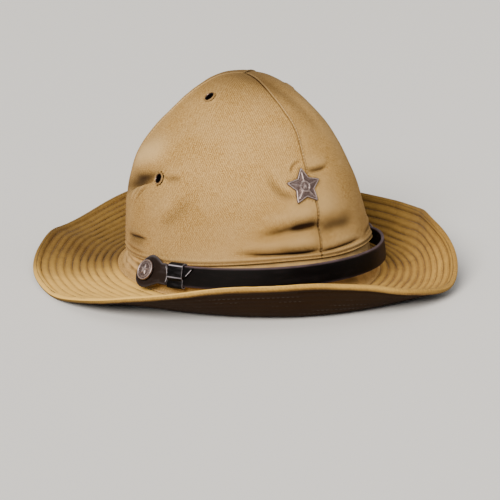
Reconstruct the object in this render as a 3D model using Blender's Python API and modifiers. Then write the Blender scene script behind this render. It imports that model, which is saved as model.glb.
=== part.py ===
"""Military bush hat in khaki cotton, with a row-stitched brim, a leather chin strap and a metal star.

Metres, +Z up. The hat faces -Y, and +X is its wearer's left. It rests on z = 0, with the origin under the
middle of its bounding box. An angle round the hat, called turn, starts at the front and grows towards the
wearer's left. Climb is the share of the way up a crown gore, from its hem to the top of the crown.
"""

import math

import bmesh
import bpy
import numpy as np
from mathutils import Matrix, Vector
from mathutils.bvhtree import BVHTree

MM = 0.001
CLEARANCE = 0.3 * MM

# Crown, measured on its outer face at the hem
CROWN_HALF_LENGTH = 99.5 * MM
CROWN_HALF_WIDTH = 83.0 * MM
CROWN_HEIGHT = 120.5 * MM
CROWN_WALL = 1.4 * MM
SEAMS = (-120, 0, 120)
CROWN_HOLE = 0.5 * MM

# Hem of the gores over the brim's inner edge, higher at the front, and the band under it
HEM_HEIGHT = 17.6 * MM
HEM_RISE = 10.2 * MM
HEM_PEAK = 1.6 * MM
HEM_DIP = 2.2 * MM
HEM_DIP_TURN = 10
HEM_DIP_REACH = 22
HEM_OVERLAP = 4.0 * MM
BAND_WALL = 1.4 * MM
BAND_FLARE = 5.0 * MM
BAND_SWEEP = 2.2

# Brim, its width and rows measured along the cloth
BRIM_WIDTH = 62.0 * MM
BRIM_THICKNESS = 2.4 * MM
BRIM_INNER_SLOPE = math.radians(-8)
BRIM_BEND = 0.3
BRIM_DIP = 1.6 * MM
ROW_COUNT = 11
ROW_PITCH = 5.5 * MM
RIM_LIP = 5.8 * MM
ROW_PUFF = 0.35 * MM

# Chin strap and what fastens it
STRAP_WIDTH = 14.5 * MM
STRAP_THICKNESS = 2.0 * MM
TAB_LENGTH = 19.5 * MM
TAB_END_RADIUS = 11.8 * MM
TAB_THICKNESS = 1.6 * MM
TAB_BULGE = 1.6 * MM
KEEPER_LENGTH = 12.5 * MM
KEEPER_WALL = 1.3 * MM
TAIL_WIDTH = 7.0 * MM
TAIL_THICKNESS = 1.5 * MM
TAIL_SHOWN = 5.5 * MM
TAIL_SLANT = 2.5 * MM
TAIL_RISE = 2.6 * MM
BUTTON_TURN = 78.8
BUTTON_RADIUS = 7.25 * MM
BUTTON_HEIGHT = 3.2 * MM
SHANK_RADIUS = 1.6 * MM

# Badge and vent eyelets
STAR_RADIUS = 13.7 * MM
STAR_HEIGHT = 2.4 * MM
STAR_WAIST = 0.53
STAR_BEND = 75.0 * MM
STAR_TURN = -2.6
STAR_CLIMB = 0.298
STAR_POST_RADIUS = 1.0 * MM
EYELET_HOLE_RADIUS = 3.4 * MM
EYELET_FLANGE_RADIUS = 5.1 * MM
EYELET_BARREL_WALL = 0.5 * MM
EYELET_PLATE = 0.7 * MM
EYELETS = {"low": (83.0, 0.323), "high": (79.5, 0.742)}

# Facets
RING_STEPS = 54
GORE_COLUMNS = 18
GORE_ROWS = (0, 0.035, 0.075, 0.12, 0.165, 0.215, 0.265, 0.315, 0.37, 0.46, 0.57, 0.69, 0.82, 0.93, 1)
TURNED_STEPS = 16

# Profile of the crown by climb: height, half length, half width and backward shift, each a share
# of the crown's height, half length, half width and half length
CROWN_TABLE = np.array([
    # climb, height, length, width, shift
    (0.000, 0.000, 1.000, 1.000, 0.000),
    (0.125, 0.180, 0.998, 0.960, 0.048),
    (0.250, 0.360, 0.967, 0.905, 0.076),
    (0.375, 0.530, 0.883, 0.808, 0.082),
    (0.500, 0.677, 0.753, 0.683, 0.050),
    (0.625, 0.800, 0.596, 0.539, 0.010),
    (0.750, 0.908, 0.418, 0.377, -0.004),
    (0.875, 0.983, 0.215, 0.193, -0.008),
    (1.000, 1.000, 0.000, 0.000, -0.009),
])

# Brim by turn: slope of its outer part in degrees, and the share of its width where it turns up
BRIM_TABLE = np.array([
    # turn, slope, place
    (-180, 29, 0.15),
    (-150, 10, 0.15),
    (-141, 13, 0.20),
    (-132, 10, 0.26),
    (-120, 6, 0.30),
    (-90, 4, 0.30),
    (-60, 25, 0.30),
    (-30, 47, 0.34),
    (-12, 52, 0.39),
    (0, 46, 0.42),
    (12, 33, 0.44),
    (30, 18, 0.46),
    (60, 78, 0.46),
    (90, 62, 0.51),
    (120, 64, 0.53),
    (150, 59, 0.40),
])

# Front seam by climb: how far it wanders to the wearer's left, in degrees
FRONT_SEAM_TABLE = np.array([
    # climb, wander
    (0.00, 1.2),
    (0.20, 2.4),
    (0.40, 1.2),
    (0.56, 2.6),
    (0.72, 0.0),
    (0.85, -2.0),
    (1.00, 0.0),
])

# Folds and bulges of the crown: place, tilt in degrees, and reach along, reach across and depth,
# each a share of the crown's half length
FOLD_TABLE = (
    # turn, climb, tilt, along, across, depth
    (-103, 0.295, 10, 0.30, 0.050, 0.034),
    (-108, 0.350, 10, 0.26, 0.060, -0.008),
    (-3, 0.045, 0, 0.33, 0.035, 0.016),
    (-2, 0.140, 4, 0.22, 0.040, 0.012),
    (-14, 0.270, -40, 0.09, 0.035, 0.012),
    (10, 0.355, 0, 0.12, 0.035, 0.012),
)

# Chin strap by turn: distance out from the hem and height over the brim's inner edge, as shares of
# the strap's width, and the lean of its upper edge towards the crown in degrees
STRAP_TABLE = np.array([
    # turn, out, height, lean
    (-120, 0.44, 0.79, 36),
    (-90, 0.44, 0.80, 36),
    (-66, 0.46, 1.07, 21),
    (-35, 0.40, 1.28, 8),
    (0, 0.46, 1.36, 5),
    (35, 0.63, 1.30, 3),
    (62, 0.55, 1.14, 10),
    (90, 0.44, 0.79, 30),
    (120, 0.44, 0.79, 30),
])

# Outline of the tab forward of the button: place along it, and half width as a share of its end radius
TAB_TABLE = np.array([
    # along, half width
    (0.00, 1.00),
    (0.22, 0.93),
    (0.48, 0.74),
    (0.72, 0.60),
    (0.90, 0.62),
    (1.00, 0.62),
])

HALF_LENGTH = CROWN_HALF_LENGTH + BAND_FLARE
HALF_WIDTH = CROWN_HALF_WIDTH + BAND_FLARE
JUNCTION = BRIM_DIP + BRIM_THICKNESS / 2

KHAKI = (0.47, 0.32, 0.14)
BRIM_KHAKI = (0.42, 0.28, 0.12)
STRAP_BROWN = (0.012, 0.009, 0.008)
TAB_BROWN = (0.03, 0.018, 0.014)
BRONZE = (0.14, 0.08, 0.06)
KHAKI_METAL = (0.34, 0.25, 0.15)


def clear_scene():
    for found in list(bpy.data.objects):
        bpy.data.objects.remove(found, do_unlink=True)


def new_collection(name):
    collection = bpy.data.collections.new(name)
    bpy.context.scene.collection.children.link(collection)
    return collection


def material(name, colour, roughness, metallic=0.0):
    made = bpy.data.materials.new(name)
    made.use_nodes = True
    shader = made.node_tree.nodes["Principled BSDF"]
    shader.inputs["Base Color"].default_value = (*colour, 1.0)
    shader.inputs["Roughness"].default_value = roughness
    shader.inputs["Metallic"].default_value = metallic
    return made


def finish_mesh(name, cage, made_of, sharp=35):
    """Turn a bmesh cage into a named object with its faces outward and round parts smooth."""
    bmesh.ops.recalc_face_normals(cage, faces=cage.faces)
    if cage.calc_volume(signed=True) < 0:
        bmesh.ops.reverse_faces(cage, faces=cage.faces)
    mesh = bpy.data.meshes.new(name)
    cage.to_mesh(mesh)
    cage.free()
    mesh.shade_smooth()
    mesh.set_sharp_from_angle(angle=math.radians(sharp))
    piece = bpy.data.objects.new(name, mesh)
    mesh.materials.append(made_of)
    HAT.objects.link(piece)
    return piece


def move_points(cage, places):
    """Set all points of a cage from an array of places."""
    for point, place in zip(cage.verts, places):
        point.co = place


def ring(name, sections, made_of, sharp=35):
    """Closed ring through sections that go round it, made from a torus primitive.

    sections is an array (round the ring, round the section, 3), both anticlockwise.
    """
    steps, points = sections.shape[:2]
    bpy.ops.mesh.primitive_torus_add(major_segments=steps, minor_segments=points)
    torus = bpy.context.object
    cage = bmesh.new()
    cage.from_mesh(torus.data)
    bpy.data.objects.remove(torus, do_unlink=True)
    move_points(cage, sections.reshape(-1, 3))
    return finish_mesh(name, cage, made_of, sharp)


def wall(name, along, across, face, made_of, sharp=35):
    """Sheet with two faces and a rim all round, made from a flat solidified grid.

    face(along, across, depth) gives the places, with depth 0 on the outer face and 1 on the inner one.
    """
    cage = bmesh.new()
    bmesh.ops.create_grid(cage, x_segments=len(along) - 1, y_segments=len(across) - 1, size=1)
    bmesh.ops.solidify(cage, geom=cage.faces[:], thickness=1)
    flat = np.array([point.co for point in cage.verts])
    first = np.rint((flat[:, 0] + 1) / 2 * (len(along) - 1)).astype(int)
    second = np.rint((flat[:, 1] + 1) / 2 * (len(across) - 1)).astype(int)
    depth = np.rint(np.abs(flat[:, 2]))
    move_points(cage, face(np.asarray(along)[first], np.asarray(across)[second], depth))
    return finish_mesh(name, cage, made_of, sharp)


def loft(name, sections, made_of, sharp=35):
    """Solid through unlike sections of equally many points, closed at both ends."""
    cage = bmesh.new()
    loops = [[cage.verts.new(place) for place in section] for section in sections]
    for lower, upper in zip(loops, loops[1:]):
        for index in range(len(lower)):
            after = (index + 1) % len(lower)
            cage.faces.new((lower[index], lower[after], upper[after], upper[index]))
    cage.faces.new(loops[0])
    cage.faces.new(loops[-1])
    return finish_mesh(name, cage, made_of, sharp)


def curve(places, values, at):
    """Smooth curve through the values at the places."""
    slopes = np.gradient(values, places)
    at = np.asarray(at, float)
    left = np.clip(np.searchsorted(places, at) - 1, 0, len(places) - 2)
    step = places[left + 1] - places[left]
    share = (at - places[left]) / step
    rest = 1 - share
    ends = values[left] * (1 + 2 * share) * rest**2 + values[left + 1] * share**2 * (3 - 2 * share)
    return ends + step * share * rest * (slopes[left] * rest - slopes[left + 1] * share)


def round_column(table, column, turn):
    """Column of a table whose rows go all round the hat."""
    degrees = (np.degrees(turn) + 180) % 360 - 180
    places = np.concatenate([table[:, 0] - 360, table[:, 0], table[:, 0] + 360])
    return curve(places, np.tile(table[:, column], 3), degrees)


def crown_column(column, climb):
    """Column of the crown's profile, carried on past the top so that it passes there level."""
    mirror = -1 if column in (2, 3) else 1
    beyond = CROWN_TABLE[-2:-4:-1]
    places = np.concatenate([CROWN_TABLE[:, 0], 2 - beyond[:, 0]])
    return curve(places, np.concatenate([CROWN_TABLE[:, column], mirror * beyond[:, column]]), climb)


def hem_height(turn):
    """Height of the hem over the brim's inner edge: waves round the hat, and a dip near the front."""
    off = (np.degrees(turn) - HEM_DIP_TURN + 180) % 360 - 180
    dip = HEM_DIP * np.exp(-((off / HEM_DIP_REACH) ** 2))
    return HEM_HEIGHT + HEM_RISE * np.cos(turn) + HEM_PEAK * np.cos(2 * turn) - dip


def plain_crown(turn, climb):
    """Outer face of the crown without its folds."""
    rise = crown_column(1, climb)
    reach = crown_column(3, climb) * CROWN_HALF_WIDTH
    length = crown_column(2, climb) * CROWN_HALF_LENGTH
    shift = crown_column(4, climb) * CROWN_HALF_LENGTH
    level = JUNCTION + hem_height(turn) * (1 - rise) + (HEM_HEIGHT + CROWN_HEIGHT) * rise
    places = [reach * np.sin(turn), shift - length * np.cos(turn), level]
    return np.stack(np.broadcast_arrays(*places), axis=-1) - CENTRE


def face_normal(face, turn, climb):
    """Outward normal of a face given by turn and climb."""
    step = 0.002
    sideways = face(turn + step, climb) - face(turn - step, climb)
    upward = face(turn, climb + step) - face(turn, climb - step)
    normal = np.cross(sideways, upward)
    return normal / np.linalg.norm(normal, axis=-1, keepdims=True)


def fold_depth(turn, climb):
    """How far the folds press the crown inward."""
    depth = 0
    for fold_turn, fold_climb, tilt, along, across, share in FOLD_TABLE:
        off = (turn - math.radians(fold_turn) + math.pi) % (2 * math.pi) - math.pi
        sideways = off * crown_column(2, climb)
        upward = (climb - fold_climb) * GORE_LENGTH / CROWN_HALF_LENGTH
        lean = math.radians(tilt)
        main = sideways * math.cos(lean) + upward * math.sin(lean)
        cross = upward * math.cos(lean) - sideways * math.sin(lean)
        depth = depth + share * np.exp(-((main / along) ** 2) - (cross / across) ** 2)
    return depth * CROWN_HALF_LENGTH


def clamp_flat(places, spot, axis, radius):
    """Flatten the cloth under a metal fitting, blending out over its radius again."""
    offset = places - spot
    height = offset @ axis
    away = np.linalg.norm(offset - height[..., None] * axis, axis=-1)
    hold = np.clip(2 - away / radius, 0, 1)
    hold = hold * hold * (3 - 2 * hold) * (np.abs(height) < radius)
    return places - (height * hold)[..., None] * axis


def crown(turn, climb):
    """Outer face of the crown with its folds, flat under the eyelets."""
    places = plain_crown(turn, climb)
    places = places - fold_depth(turn, climb)[..., None] * face_normal(plain_crown, turn, climb)
    for spot, axis in EYELET_SPOTS.values():
        places = clamp_flat(places, spot, axis, EYELET_FLANGE_RADIUS)
    return places


def crown_inside(turn, climb, depth):
    """Place at a depth under the crown's outer face."""
    return crown(turn, climb) - np.asarray(depth)[..., None] * face_normal(crown, turn, climb)


def seam_turn(seam, climb):
    """Turn of a seam by climb, the front one wandering."""
    wander = curve(FRONT_SEAM_TABLE[:, 0], FRONT_SEAM_TABLE[:, 1], climb) if seam == 0 else 0
    return np.radians(seam + wander)


def seam_trim(turn, climb):
    """Angle that leaves half a clearance between a gore's edge and its seam."""
    step = 0.002
    stride = np.linalg.norm(plain_crown(turn + step, climb) - plain_crown(turn - step, climb), axis=-1)
    return np.arcsin(np.minimum(CLEARANCE / 2 / (stride / (2 * step)), 0.5))


def brim_slopes(turn, share):
    """Slope of the brim by turn (rows) and by share of its width (columns)."""
    outer = np.radians(round_column(BRIM_TABLE, 1, turn))[:, None]
    place = round_column(BRIM_TABLE, 2, turn)[:, None]
    bent = np.clip((share[None, :] - place + BRIM_BEND) / (2 * BRIM_BEND), 0, 1)
    return BRIM_INNER_SLOPE + (outer - BRIM_INNER_SLOPE) * bent * bent * (3 - 2 * bent)


def brim(turn, share):
    """Middle of the brim's cloth, and its upward normal, by turn and share of its width."""
    slope = brim_slopes(turn, share)
    between = (slope[:, 1:] + slope[:, :-1]) / 2
    step = np.diff(share) * BRIM_WIDTH
    start = np.zeros((len(turn), 1))
    reach = np.concatenate([start, np.cumsum(np.cos(between) * step, axis=1)], axis=1)
    lift = np.concatenate([start, np.cumsum(np.sin(between) * step, axis=1)], axis=1)
    level = np.maximum(JUNCTION + lift, BRIM_THICKNESS / 2 * np.cos(slope))
    outward = ellipse_outward(turn)[:, None, :]
    up = np.array([0.0, 0.0, 1.0])
    base = ellipse(turn, HALF_LENGTH, HALF_WIDTH)[:, None, :]
    places = base + outward * reach[..., None] + up * level[..., None]
    normal = up * np.cos(slope)[..., None] - outward * np.sin(slope)[..., None]
    return places, normal


def ellipse(turn, half_length, half_width):
    """Point of a level ellipse round the hat, at z = 0."""
    flat = np.stack([half_width * np.sin(turn), -half_length * np.cos(turn), 0 * turn], axis=-1)
    return flat - CENTRE


def ellipse_outward(turn):
    """Level outward normal of the ellipse at the brim's inner edge."""
    normal = np.stack([HALF_LENGTH * np.sin(turn), -HALF_WIDTH * np.cos(turn), 0 * turn], axis=-1)
    return normal / np.linalg.norm(normal, axis=-1, keepdims=True)


def sideways_of(turn):
    """Level direction along the ellipse, towards a growing turn."""
    outward = ellipse_outward(turn)
    return np.stack([-outward[:, 1], outward[:, 0], outward[:, 2]], axis=-1)


def gore_length():
    """Length of the front seam from the hem to the top of the crown."""
    climbs = np.linspace(0, 1, 200)
    steps = np.diff(plain_crown(np.zeros(200), climbs), axis=0)
    return float(np.linalg.norm(steps, axis=1).sum())


def eyelet_spots():
    """Place and axis of each eyelet on the crown."""
    spots = {}
    for level, (turn, climb) in EYELETS.items():
        for side, sign in (("right", -1), ("left", 1)):
            at = (np.array(math.radians(sign * turn)), np.array(climb))
            axis = face_normal(plain_crown, *at)
            spots[f"eyelet_{side}_{level}"] = (plain_crown(*at) - fold_depth(*at) * axis, axis)
    return spots


def make_gore(name, first_seam, second_seam, cloth):
    """One cloth panel of the crown, from seam to seam and from the hem to the top."""
    top = 1 - CROWN_HOLE / GORE_LENGTH

    def face(across, climb, depth):
        climb = climb * top
        start = seam_turn(first_seam, climb)
        end = seam_turn(second_seam, climb)
        start = start + seam_trim(start, climb)
        end = end - seam_trim(end, climb)
        return crown_inside(start + (end - start) * across, climb, depth * CROWN_WALL)

    return wall(name, np.linspace(0, 1, GORE_COLUMNS + 1), GORE_ROWS, face, cloth, sharp=60)


def make_band(cloth):
    """Collar strip from the brim's inner edge up behind the gores' hem."""
    turn = ring_turns()
    steps = 4
    overlap = HEM_OVERLAP / GORE_LENGTH
    tucked = CROWN_WALL + 2 * CLEARANCE
    upper = [crown_inside(turn, np.full_like(turn, climb), np.full_like(turn, tucked))
             for climb in (overlap, 0.0)]
    foot = ellipse(turn, HALF_LENGTH - CLEARANCE, HALF_WIDTH - CLEARANCE)
    hem = upper[-1]
    faces = list(upper)
    for index in range(1, steps):
        share = 1 - index / steps
        level = JUNCTION + BRIM_THICKNESS / 2 + CLEARANCE
        place = foot + (hem - foot) * (1 - (1 - share) ** BAND_SWEEP)
        place[:, 2] = level + (hem[:, 2] - level) * share
        faces.append(place)
    for level in (JUNCTION + BRIM_THICKNESS / 2, JUNCTION - BRIM_THICKNESS / 2):
        place = foot.copy()
        place[:, 2] = level
        faces.append(place)
    outer = np.stack(faces[::-1], axis=1)
    inner = outer - ellipse_outward(turn)[:, None, :] * BAND_WALL
    return ring("crown_band", np.concatenate([outer, inner[:, ::-1]], axis=1), cloth, sharp=60)


def ring_turns():
    return np.radians(np.arange(RING_STEPS) * 360 / RING_STEPS)


def row_shares():
    """Shares of the brim's width at its stitched rows, from the innermost to the rim."""
    rows = BRIM_WIDTH - RIM_LIP - ROW_PITCH * np.arange(ROW_COUNT)[::-1]
    return rows[rows > 0] / BRIM_WIDTH


def brim_skin(turn):
    """Sections of the quilted brim, thin at its stitched rows, full between them, with a rounded rim."""
    rows = row_shares()
    edges = np.concatenate([[0], rows, [1]])
    crests = (edges[1:] + edges[:-1]) / 2
    share = np.sort(np.concatenate([edges, crests]))
    full = np.where(np.isin(share, rows), -1, np.where(np.isin(share, crests), 1, 0))
    places, normal = brim(turn, share)
    top = places + normal * (BRIM_THICKNESS / 2 + ROW_PUFF * full)[None, :, None]
    places, under = brim(turn, np.linspace(0, 1, 8))
    bottom = places - under * BRIM_THICKNESS / 2
    bottom[..., 2] = np.maximum(bottom[..., 2], 0)
    rim_out = np.cross(sideways_of(turn), under[:, -1])
    rim = []
    for angle in np.radians((-45, 0, 45)):
        swing = rim_out * math.cos(angle) + under[:, -1] * math.sin(angle)
        rim.append(places[:, -1] + swing * BRIM_THICKNESS / 2)
    return np.concatenate([bottom, np.stack(rim, axis=1), top[:, ::-1]], axis=1)


def hat_centre():
    """Middle of the brim's outline seen from above."""
    skin = brim_skin(ring_turns()).reshape(-1, 3)
    middle = (skin.max(axis=0) + skin.min(axis=0)) / 2
    return np.array([middle[0], middle[1], 0.0])


def strap_route():
    """Middle line of the chin strap as arrays of turn, place, outward and upward direction and length."""
    turn = np.radians(np.linspace(-118, 118, 473))
    degrees = np.degrees(turn)
    out, height, lean = (curve(STRAP_TABLE[:, 0], STRAP_TABLE[:, column], degrees) for column in (1, 2, 3))
    away = (out * STRAP_WIDTH - BAND_FLARE)[:, None]
    place = ellipse(turn, HALF_LENGTH, HALF_WIDTH) + ellipse_outward(turn) * away
    place[:, 2] = JUNCTION + height * STRAP_WIDTH
    steps = np.linalg.norm(np.diff(place, axis=0), axis=1)
    length = np.concatenate([[0], np.cumsum(steps)])
    length -= np.interp(-BUTTON_TURN, degrees, length)
    lean = np.radians(lean)[:, None]
    level = ellipse_outward(turn)
    up = np.array([0.0, 0.0, 1.0])
    outward = level * np.cos(lean) + up * np.sin(lean)
    upward = up * np.cos(lean) - level * np.sin(lean)
    return length, place, outward, upward, float(np.interp(BUTTON_TURN, degrees, length))


def on_strap(along, up, out):
    """Place at a length along the strap, a height on it and a distance out from its middle."""
    length, place, outward, upward, _ = ROUTE
    read = [np.stack([np.interp(along, length, table[:, axis]) for axis in range(3)], axis=-1)
            for table in (place, outward, upward)]
    return read[0] + read[1] * np.asarray(out)[..., None] + read[2] * np.asarray(up)[..., None]


def strap_layer(half_width, inner, thickness):
    """Face function of a strap-like layer whose inner face lies at a distance out from the middle."""

    def face(along, across, depth):
        return on_strap(along, across * half_width(along), inner + thickness * (1 - depth))

    return face


def round_end(radius, count=4):
    """Lengths from a round end's middle to its stations, from the tip inward."""
    return -radius * np.cos(np.radians(np.linspace(12, 90, count)))


def make_strap(leather):
    """Chin strap from the right button round the front to the left button, with round ends."""
    radius = STRAP_WIDTH / 2
    end = round_end(radius)
    span = ROUTE[-1]
    middle = np.linspace(0, span, 40)[1:-1]
    along = np.concatenate([end, middle, span - end[::-1]])

    def half_width(place):
        beyond = np.maximum(np.maximum(-place, place - span), 0)
        return np.sqrt(np.maximum(radius**2 - beyond**2, 0))

    face = strap_layer(half_width, -STRAP_THICKNESS / 2, STRAP_THICKNESS)
    return wall("chin_strap", along, (-1, 0, 1), face, leather)


def make_tab(leather):
    """Leather tab on the strap's right end, round at the button and waisted before its free end."""
    along = np.concatenate([round_end(TAB_END_RADIUS, 6), np.linspace(0, TAB_LENGTH, 9)[1:]])

    def half_width(place):
        front = curve(TAB_TABLE[:, 0] * TAB_LENGTH, TAB_TABLE[:, 1], np.maximum(place, 0))
        back = np.sqrt(np.maximum(1 - (np.minimum(place, 0) / TAB_END_RADIUS) ** 2, 0))
        return TAB_END_RADIUS * np.where(place > 0, front, back)

    def face(place, across, depth):
        layer = strap_layer(half_width, TAB_INNER, TAB_THICKNESS)
        bowed = place - TAB_BULGE * across**2 * np.clip(place / TAB_LENGTH, 0, 1) ** 4
        return layer(bowed, across, depth)

    return wall("strap_tab", along, (-1, -0.5, 0, 0.5, 1), face, leather)


def make_tail(leather):
    """Narrow free end of the strap, out of the keeper and cut at a slant."""
    start = TAB_LENGTH + 2 * KEEPER_GAP
    length = KEEPER_LENGTH + TAIL_SHOWN - KEEPER_GAP

    def face(share, across, depth):
        place = start + share * (length + TAIL_SLANT * across)
        up = TAIL_RISE + across * TAIL_WIDTH / 2
        return on_strap(place, up, TAB_INNER + TAIL_THICKNESS * (1 - depth))

    return wall("strap_tail", np.linspace(0, 1, 5), (-1, 1), face, leather)


def keeper_outline(grow):
    """Outline of the keeper as heights and distances out, grown by an amount from what it holds."""
    half = STRAP_WIDTH / 2 + CLEARANCE + grow
    inner = -STRAP_THICKNESS / 2 - CLEARANCE - grow
    outer = STRAP_THICKNESS / 2 + CLEARANCE + grow
    hump = TAB_INNER + TAIL_THICKNESS + CLEARANCE + grow
    side = TAIL_WIDTH / 2 + CLEARANCE + grow
    foot = side + (hump - outer) / 2
    return [(-half, inner), (0, inner), (half, inner), (half, outer), (TAIL_RISE + foot, outer),
            (TAIL_RISE + side, hump), (TAIL_RISE - side, hump), (TAIL_RISE - foot, outer), (-half, outer)]


def make_keeper(leather):
    """Leather loop round the strap and its tail."""
    start = TAB_LENGTH + KEEPER_GAP
    stations = np.linspace(start, start + KEEPER_LENGTH, 5)
    outside = keeper_outline(KEEPER_WALL)
    inside = keeper_outline(0)
    sections = []
    for (up, out), (up_in, out_in) in zip(outside, inside):
        outer = on_strap(stations, np.full(5, up), np.full(5, out))
        inner = on_strap(stations[::-1], np.full(5, up_in), np.full(5, out_in))
        sections.append(np.concatenate([outer, inner]))
    return ring("strap_keeper", np.array(sections), leather)


def button_profile(shank):
    """Half section of a button: low boss, groove, raised rim, back and shank, from the top down."""
    radius, height = BUTTON_RADIUS, BUTTON_HEIGHT
    return [
        (0, height),
        (0.45 * radius, 0.92 * height),
        (0.74 * radius, 0.68 * height),
        (0.82 * radius, 0.64 * height),
        (0.92 * radius, 0.80 * height),
        (radius, 0.58 * height),
        (radius, 0.30 * height),
        (0.90 * radius, 0),
        (SHANK_RADIUS, 0),
        (SHANK_RADIUS, -shank),
        (0, -shank),
    ]


def turned(name, profile, made_of):
    """Solid turned round Z from a profile that runs down its outer side."""
    mesh = bpy.data.meshes.new(name)
    points = [(radius, 0, height) for radius, height in profile]
    edges = [(index, index + 1) for index in range(len(points) - 1)]
    mesh.from_pydata(points, edges, [])
    mesh.materials.append(made_of)
    piece = bpy.data.objects.new(name, mesh)
    HAT.objects.link(piece)
    screw = piece.modifiers.new("turning", "SCREW")
    screw.steps = TURNED_STEPS
    screw.render_steps = TURNED_STEPS
    screw.use_merge_vertices = True
    screw.merge_threshold = 0.00001
    screw.use_smooth_shade = True
    return piece


def upright(axis):
    """Sideways, upward and outward directions of a fitting whose Z runs along an axis."""
    out = Vector(axis).normalized()
    side = Vector((0, 0, 1)).cross(out).normalized()
    return side, out.cross(side), out


def stand(piece, place, axis):
    """Set a piece down at a place with its Z along an axis and its Y as upright as that allows."""
    turn = Matrix(upright(axis)).transposed()
    piece.matrix_world = Matrix.Translation(Vector(place)) @ turn.to_4x4()


def cut(piece, place, axis, radius, name):
    """Drill a round hole through a piece."""
    depth = 30 * MM
    bpy.ops.mesh.primitive_cylinder_add(vertices=TURNED_STEPS, radius=radius, depth=depth)
    cutter = bpy.context.object
    cutter.name = name
    for owner in list(cutter.users_collection):
        owner.objects.unlink(cutter)
    CUTTERS.objects.link(cutter)
    cutter.hide_render = True
    cutter.display_type = "WIRE"
    stand(cutter, place, axis)
    boolean = piece.modifiers.new(name, "BOOLEAN")
    boolean.operation = "DIFFERENCE"
    boolean.object = cutter


def tree_of(piece):
    """Search tree of a piece's mesh, as made."""
    mesh = piece.data
    points = [point.co.copy() for point in mesh.vertices]
    return BVHTree.FromPolygons(points, [tuple(face.vertices) for face in mesh.polygons])


def seat_level(walls, place, axis, feet):
    """Lowest level at which a fitting's feet, each (sideways, upward, level), clear some walls."""
    away = 20 * MM
    side, up, out = upright(axis)
    levels = []
    for tree in [tree_of(piece) for piece in walls]:
        for across, above, level in feet:
            foot = Vector(place) + side * across + up * above
            hit = tree.ray_cast(foot + out * away, -out, 2 * away)
            if hit[0] is not None:
                levels.append((hit[0] - Vector(place)).dot(out) - level)
    return max(levels) + CLEARANCE


def circle(radius, level=0.0):
    """Points of a level circle."""
    angles = [index * math.tau / TURNED_STEPS for index in range(TURNED_STEPS)]
    return [(radius * math.cos(angle), radius * math.sin(angle), level) for angle in angles]


def make_eyelet(name, gore, metal):
    """Vent eyelet clamped through a hole in a gore, with a flange on both faces of the cloth."""
    spot, axis = EYELET_SPOTS[name]
    feet = circle(EYELET_HOLE_RADIUS) + circle(EYELET_FLANGE_RADIUS)
    front = seat_level([gore], spot, axis, feet)
    back = -seat_level([gore], spot, -axis, feet)
    inside = EYELET_HOLE_RADIUS
    barrel = inside + EYELET_BARREL_WALL
    profile = [
        (EYELET_FLANGE_RADIUS, front),
        (EYELET_FLANGE_RADIUS - EYELET_PLATE / 2, front + EYELET_PLATE),
        (barrel, front + EYELET_PLATE * 1.3),
        (inside, front + EYELET_PLATE / 2),
        (inside, back - EYELET_PLATE / 2),
        (barrel, back - EYELET_PLATE),
        (EYELET_FLANGE_RADIUS, back - EYELET_PLATE / 2),
        (EYELET_FLANGE_RADIUS, back),
        (barrel, back),
        (barrel, front),
    ]
    sections = np.array([circle(radius, height) for radius, height in profile]).transpose(1, 0, 2)
    eyelet = ring(name, sections, metal, sharp=50)
    stand(eyelet, spot, axis)
    cut(gore, spot, axis, barrel + CLEARANCE, f"{name}_hole")
    return eyelet


def make_button(name, along, below, walls, metal):
    """Button on the strap at a length along it, with a shank down to the cloth behind."""
    middle = on_strap(np.array(along), 0.0, 0.0)
    axis = Vector(on_strap(np.array(along), 0.0, 1.0) - middle)
    foot = middle + seat_level([below], middle, axis, circle(0) + circle(BUTTON_RADIUS)) * np.array(axis)
    shank = -seat_level(walls, foot, axis, circle(0) + circle(SHANK_RADIUS))
    button = turned(name, button_profile(shank), metal)
    stand(button, foot, axis)
    return foot, axis


def star_section(radius, height, star_share):
    """Ten points of a star or, at share 0, of a circle, at a height."""
    places = []
    for index in range(10):
        angle = math.pi / 2 + index * math.pi / 5
        reach = radius * (1 if index % 2 == 0 else 1 - (1 - STAR_WAIST) * star_share)
        sideways = reach * math.cos(angle)
        places.append((sideways, reach * math.sin(angle), height - sideways**2 / (2 * STAR_BEND)))
    return places


def make_star(gore, beside, metal):
    """Five-pointed badge with a raised rim, bevelled arms and a round boss, and its post."""
    at = (np.array(math.radians(STAR_TURN)), np.array(STAR_CLIMB))
    spot = plain_crown(*at)
    axis = face_normal(plain_crown, *at)
    feet = [foot for share in (0.2, 0.4, 0.6, 0.8, 1) for foot in star_section(share * STAR_RADIUS, 0, 1)]
    high = seat_level([gore, beside], spot, axis, feet)
    post = STAR_POST_RADIUS
    depth = CROWN_WALL + high + 2 * CLEARANCE + 2 * post
    boss = 0.27 * STAR_RADIUS
    sections = [
        star_section(post, -depth, 0),
        star_section(post, 0, 0),
        star_section(STAR_RADIUS, 0, 1),
        star_section(STAR_RADIUS, 0.45 * STAR_HEIGHT, 1),
        star_section(0.94 * STAR_RADIUS, 0.62 * STAR_HEIGHT, 1),
        star_section(0.86 * STAR_RADIUS, 0.62 * STAR_HEIGHT, 1),
        star_section(0.82 * STAR_RADIUS, 0.42 * STAR_HEIGHT, 1),
        star_section(1.25 * boss, 0.72 * STAR_HEIGHT, 0.3),
        star_section(boss, 0.95 * STAR_HEIGHT, 0),
        star_section(0.5 * boss, STAR_HEIGHT, 0),
    ]
    star = loft("star_badge", sections, metal, sharp=20)
    stand(star, spot + high * axis, axis)
    cut(gore, spot, axis, post + CLEARANCE, "star_badge_hole")
    return star


clear_scene()
HAT = new_collection("military_bush_hat")
CUTTERS = new_collection("cutters")

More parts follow.
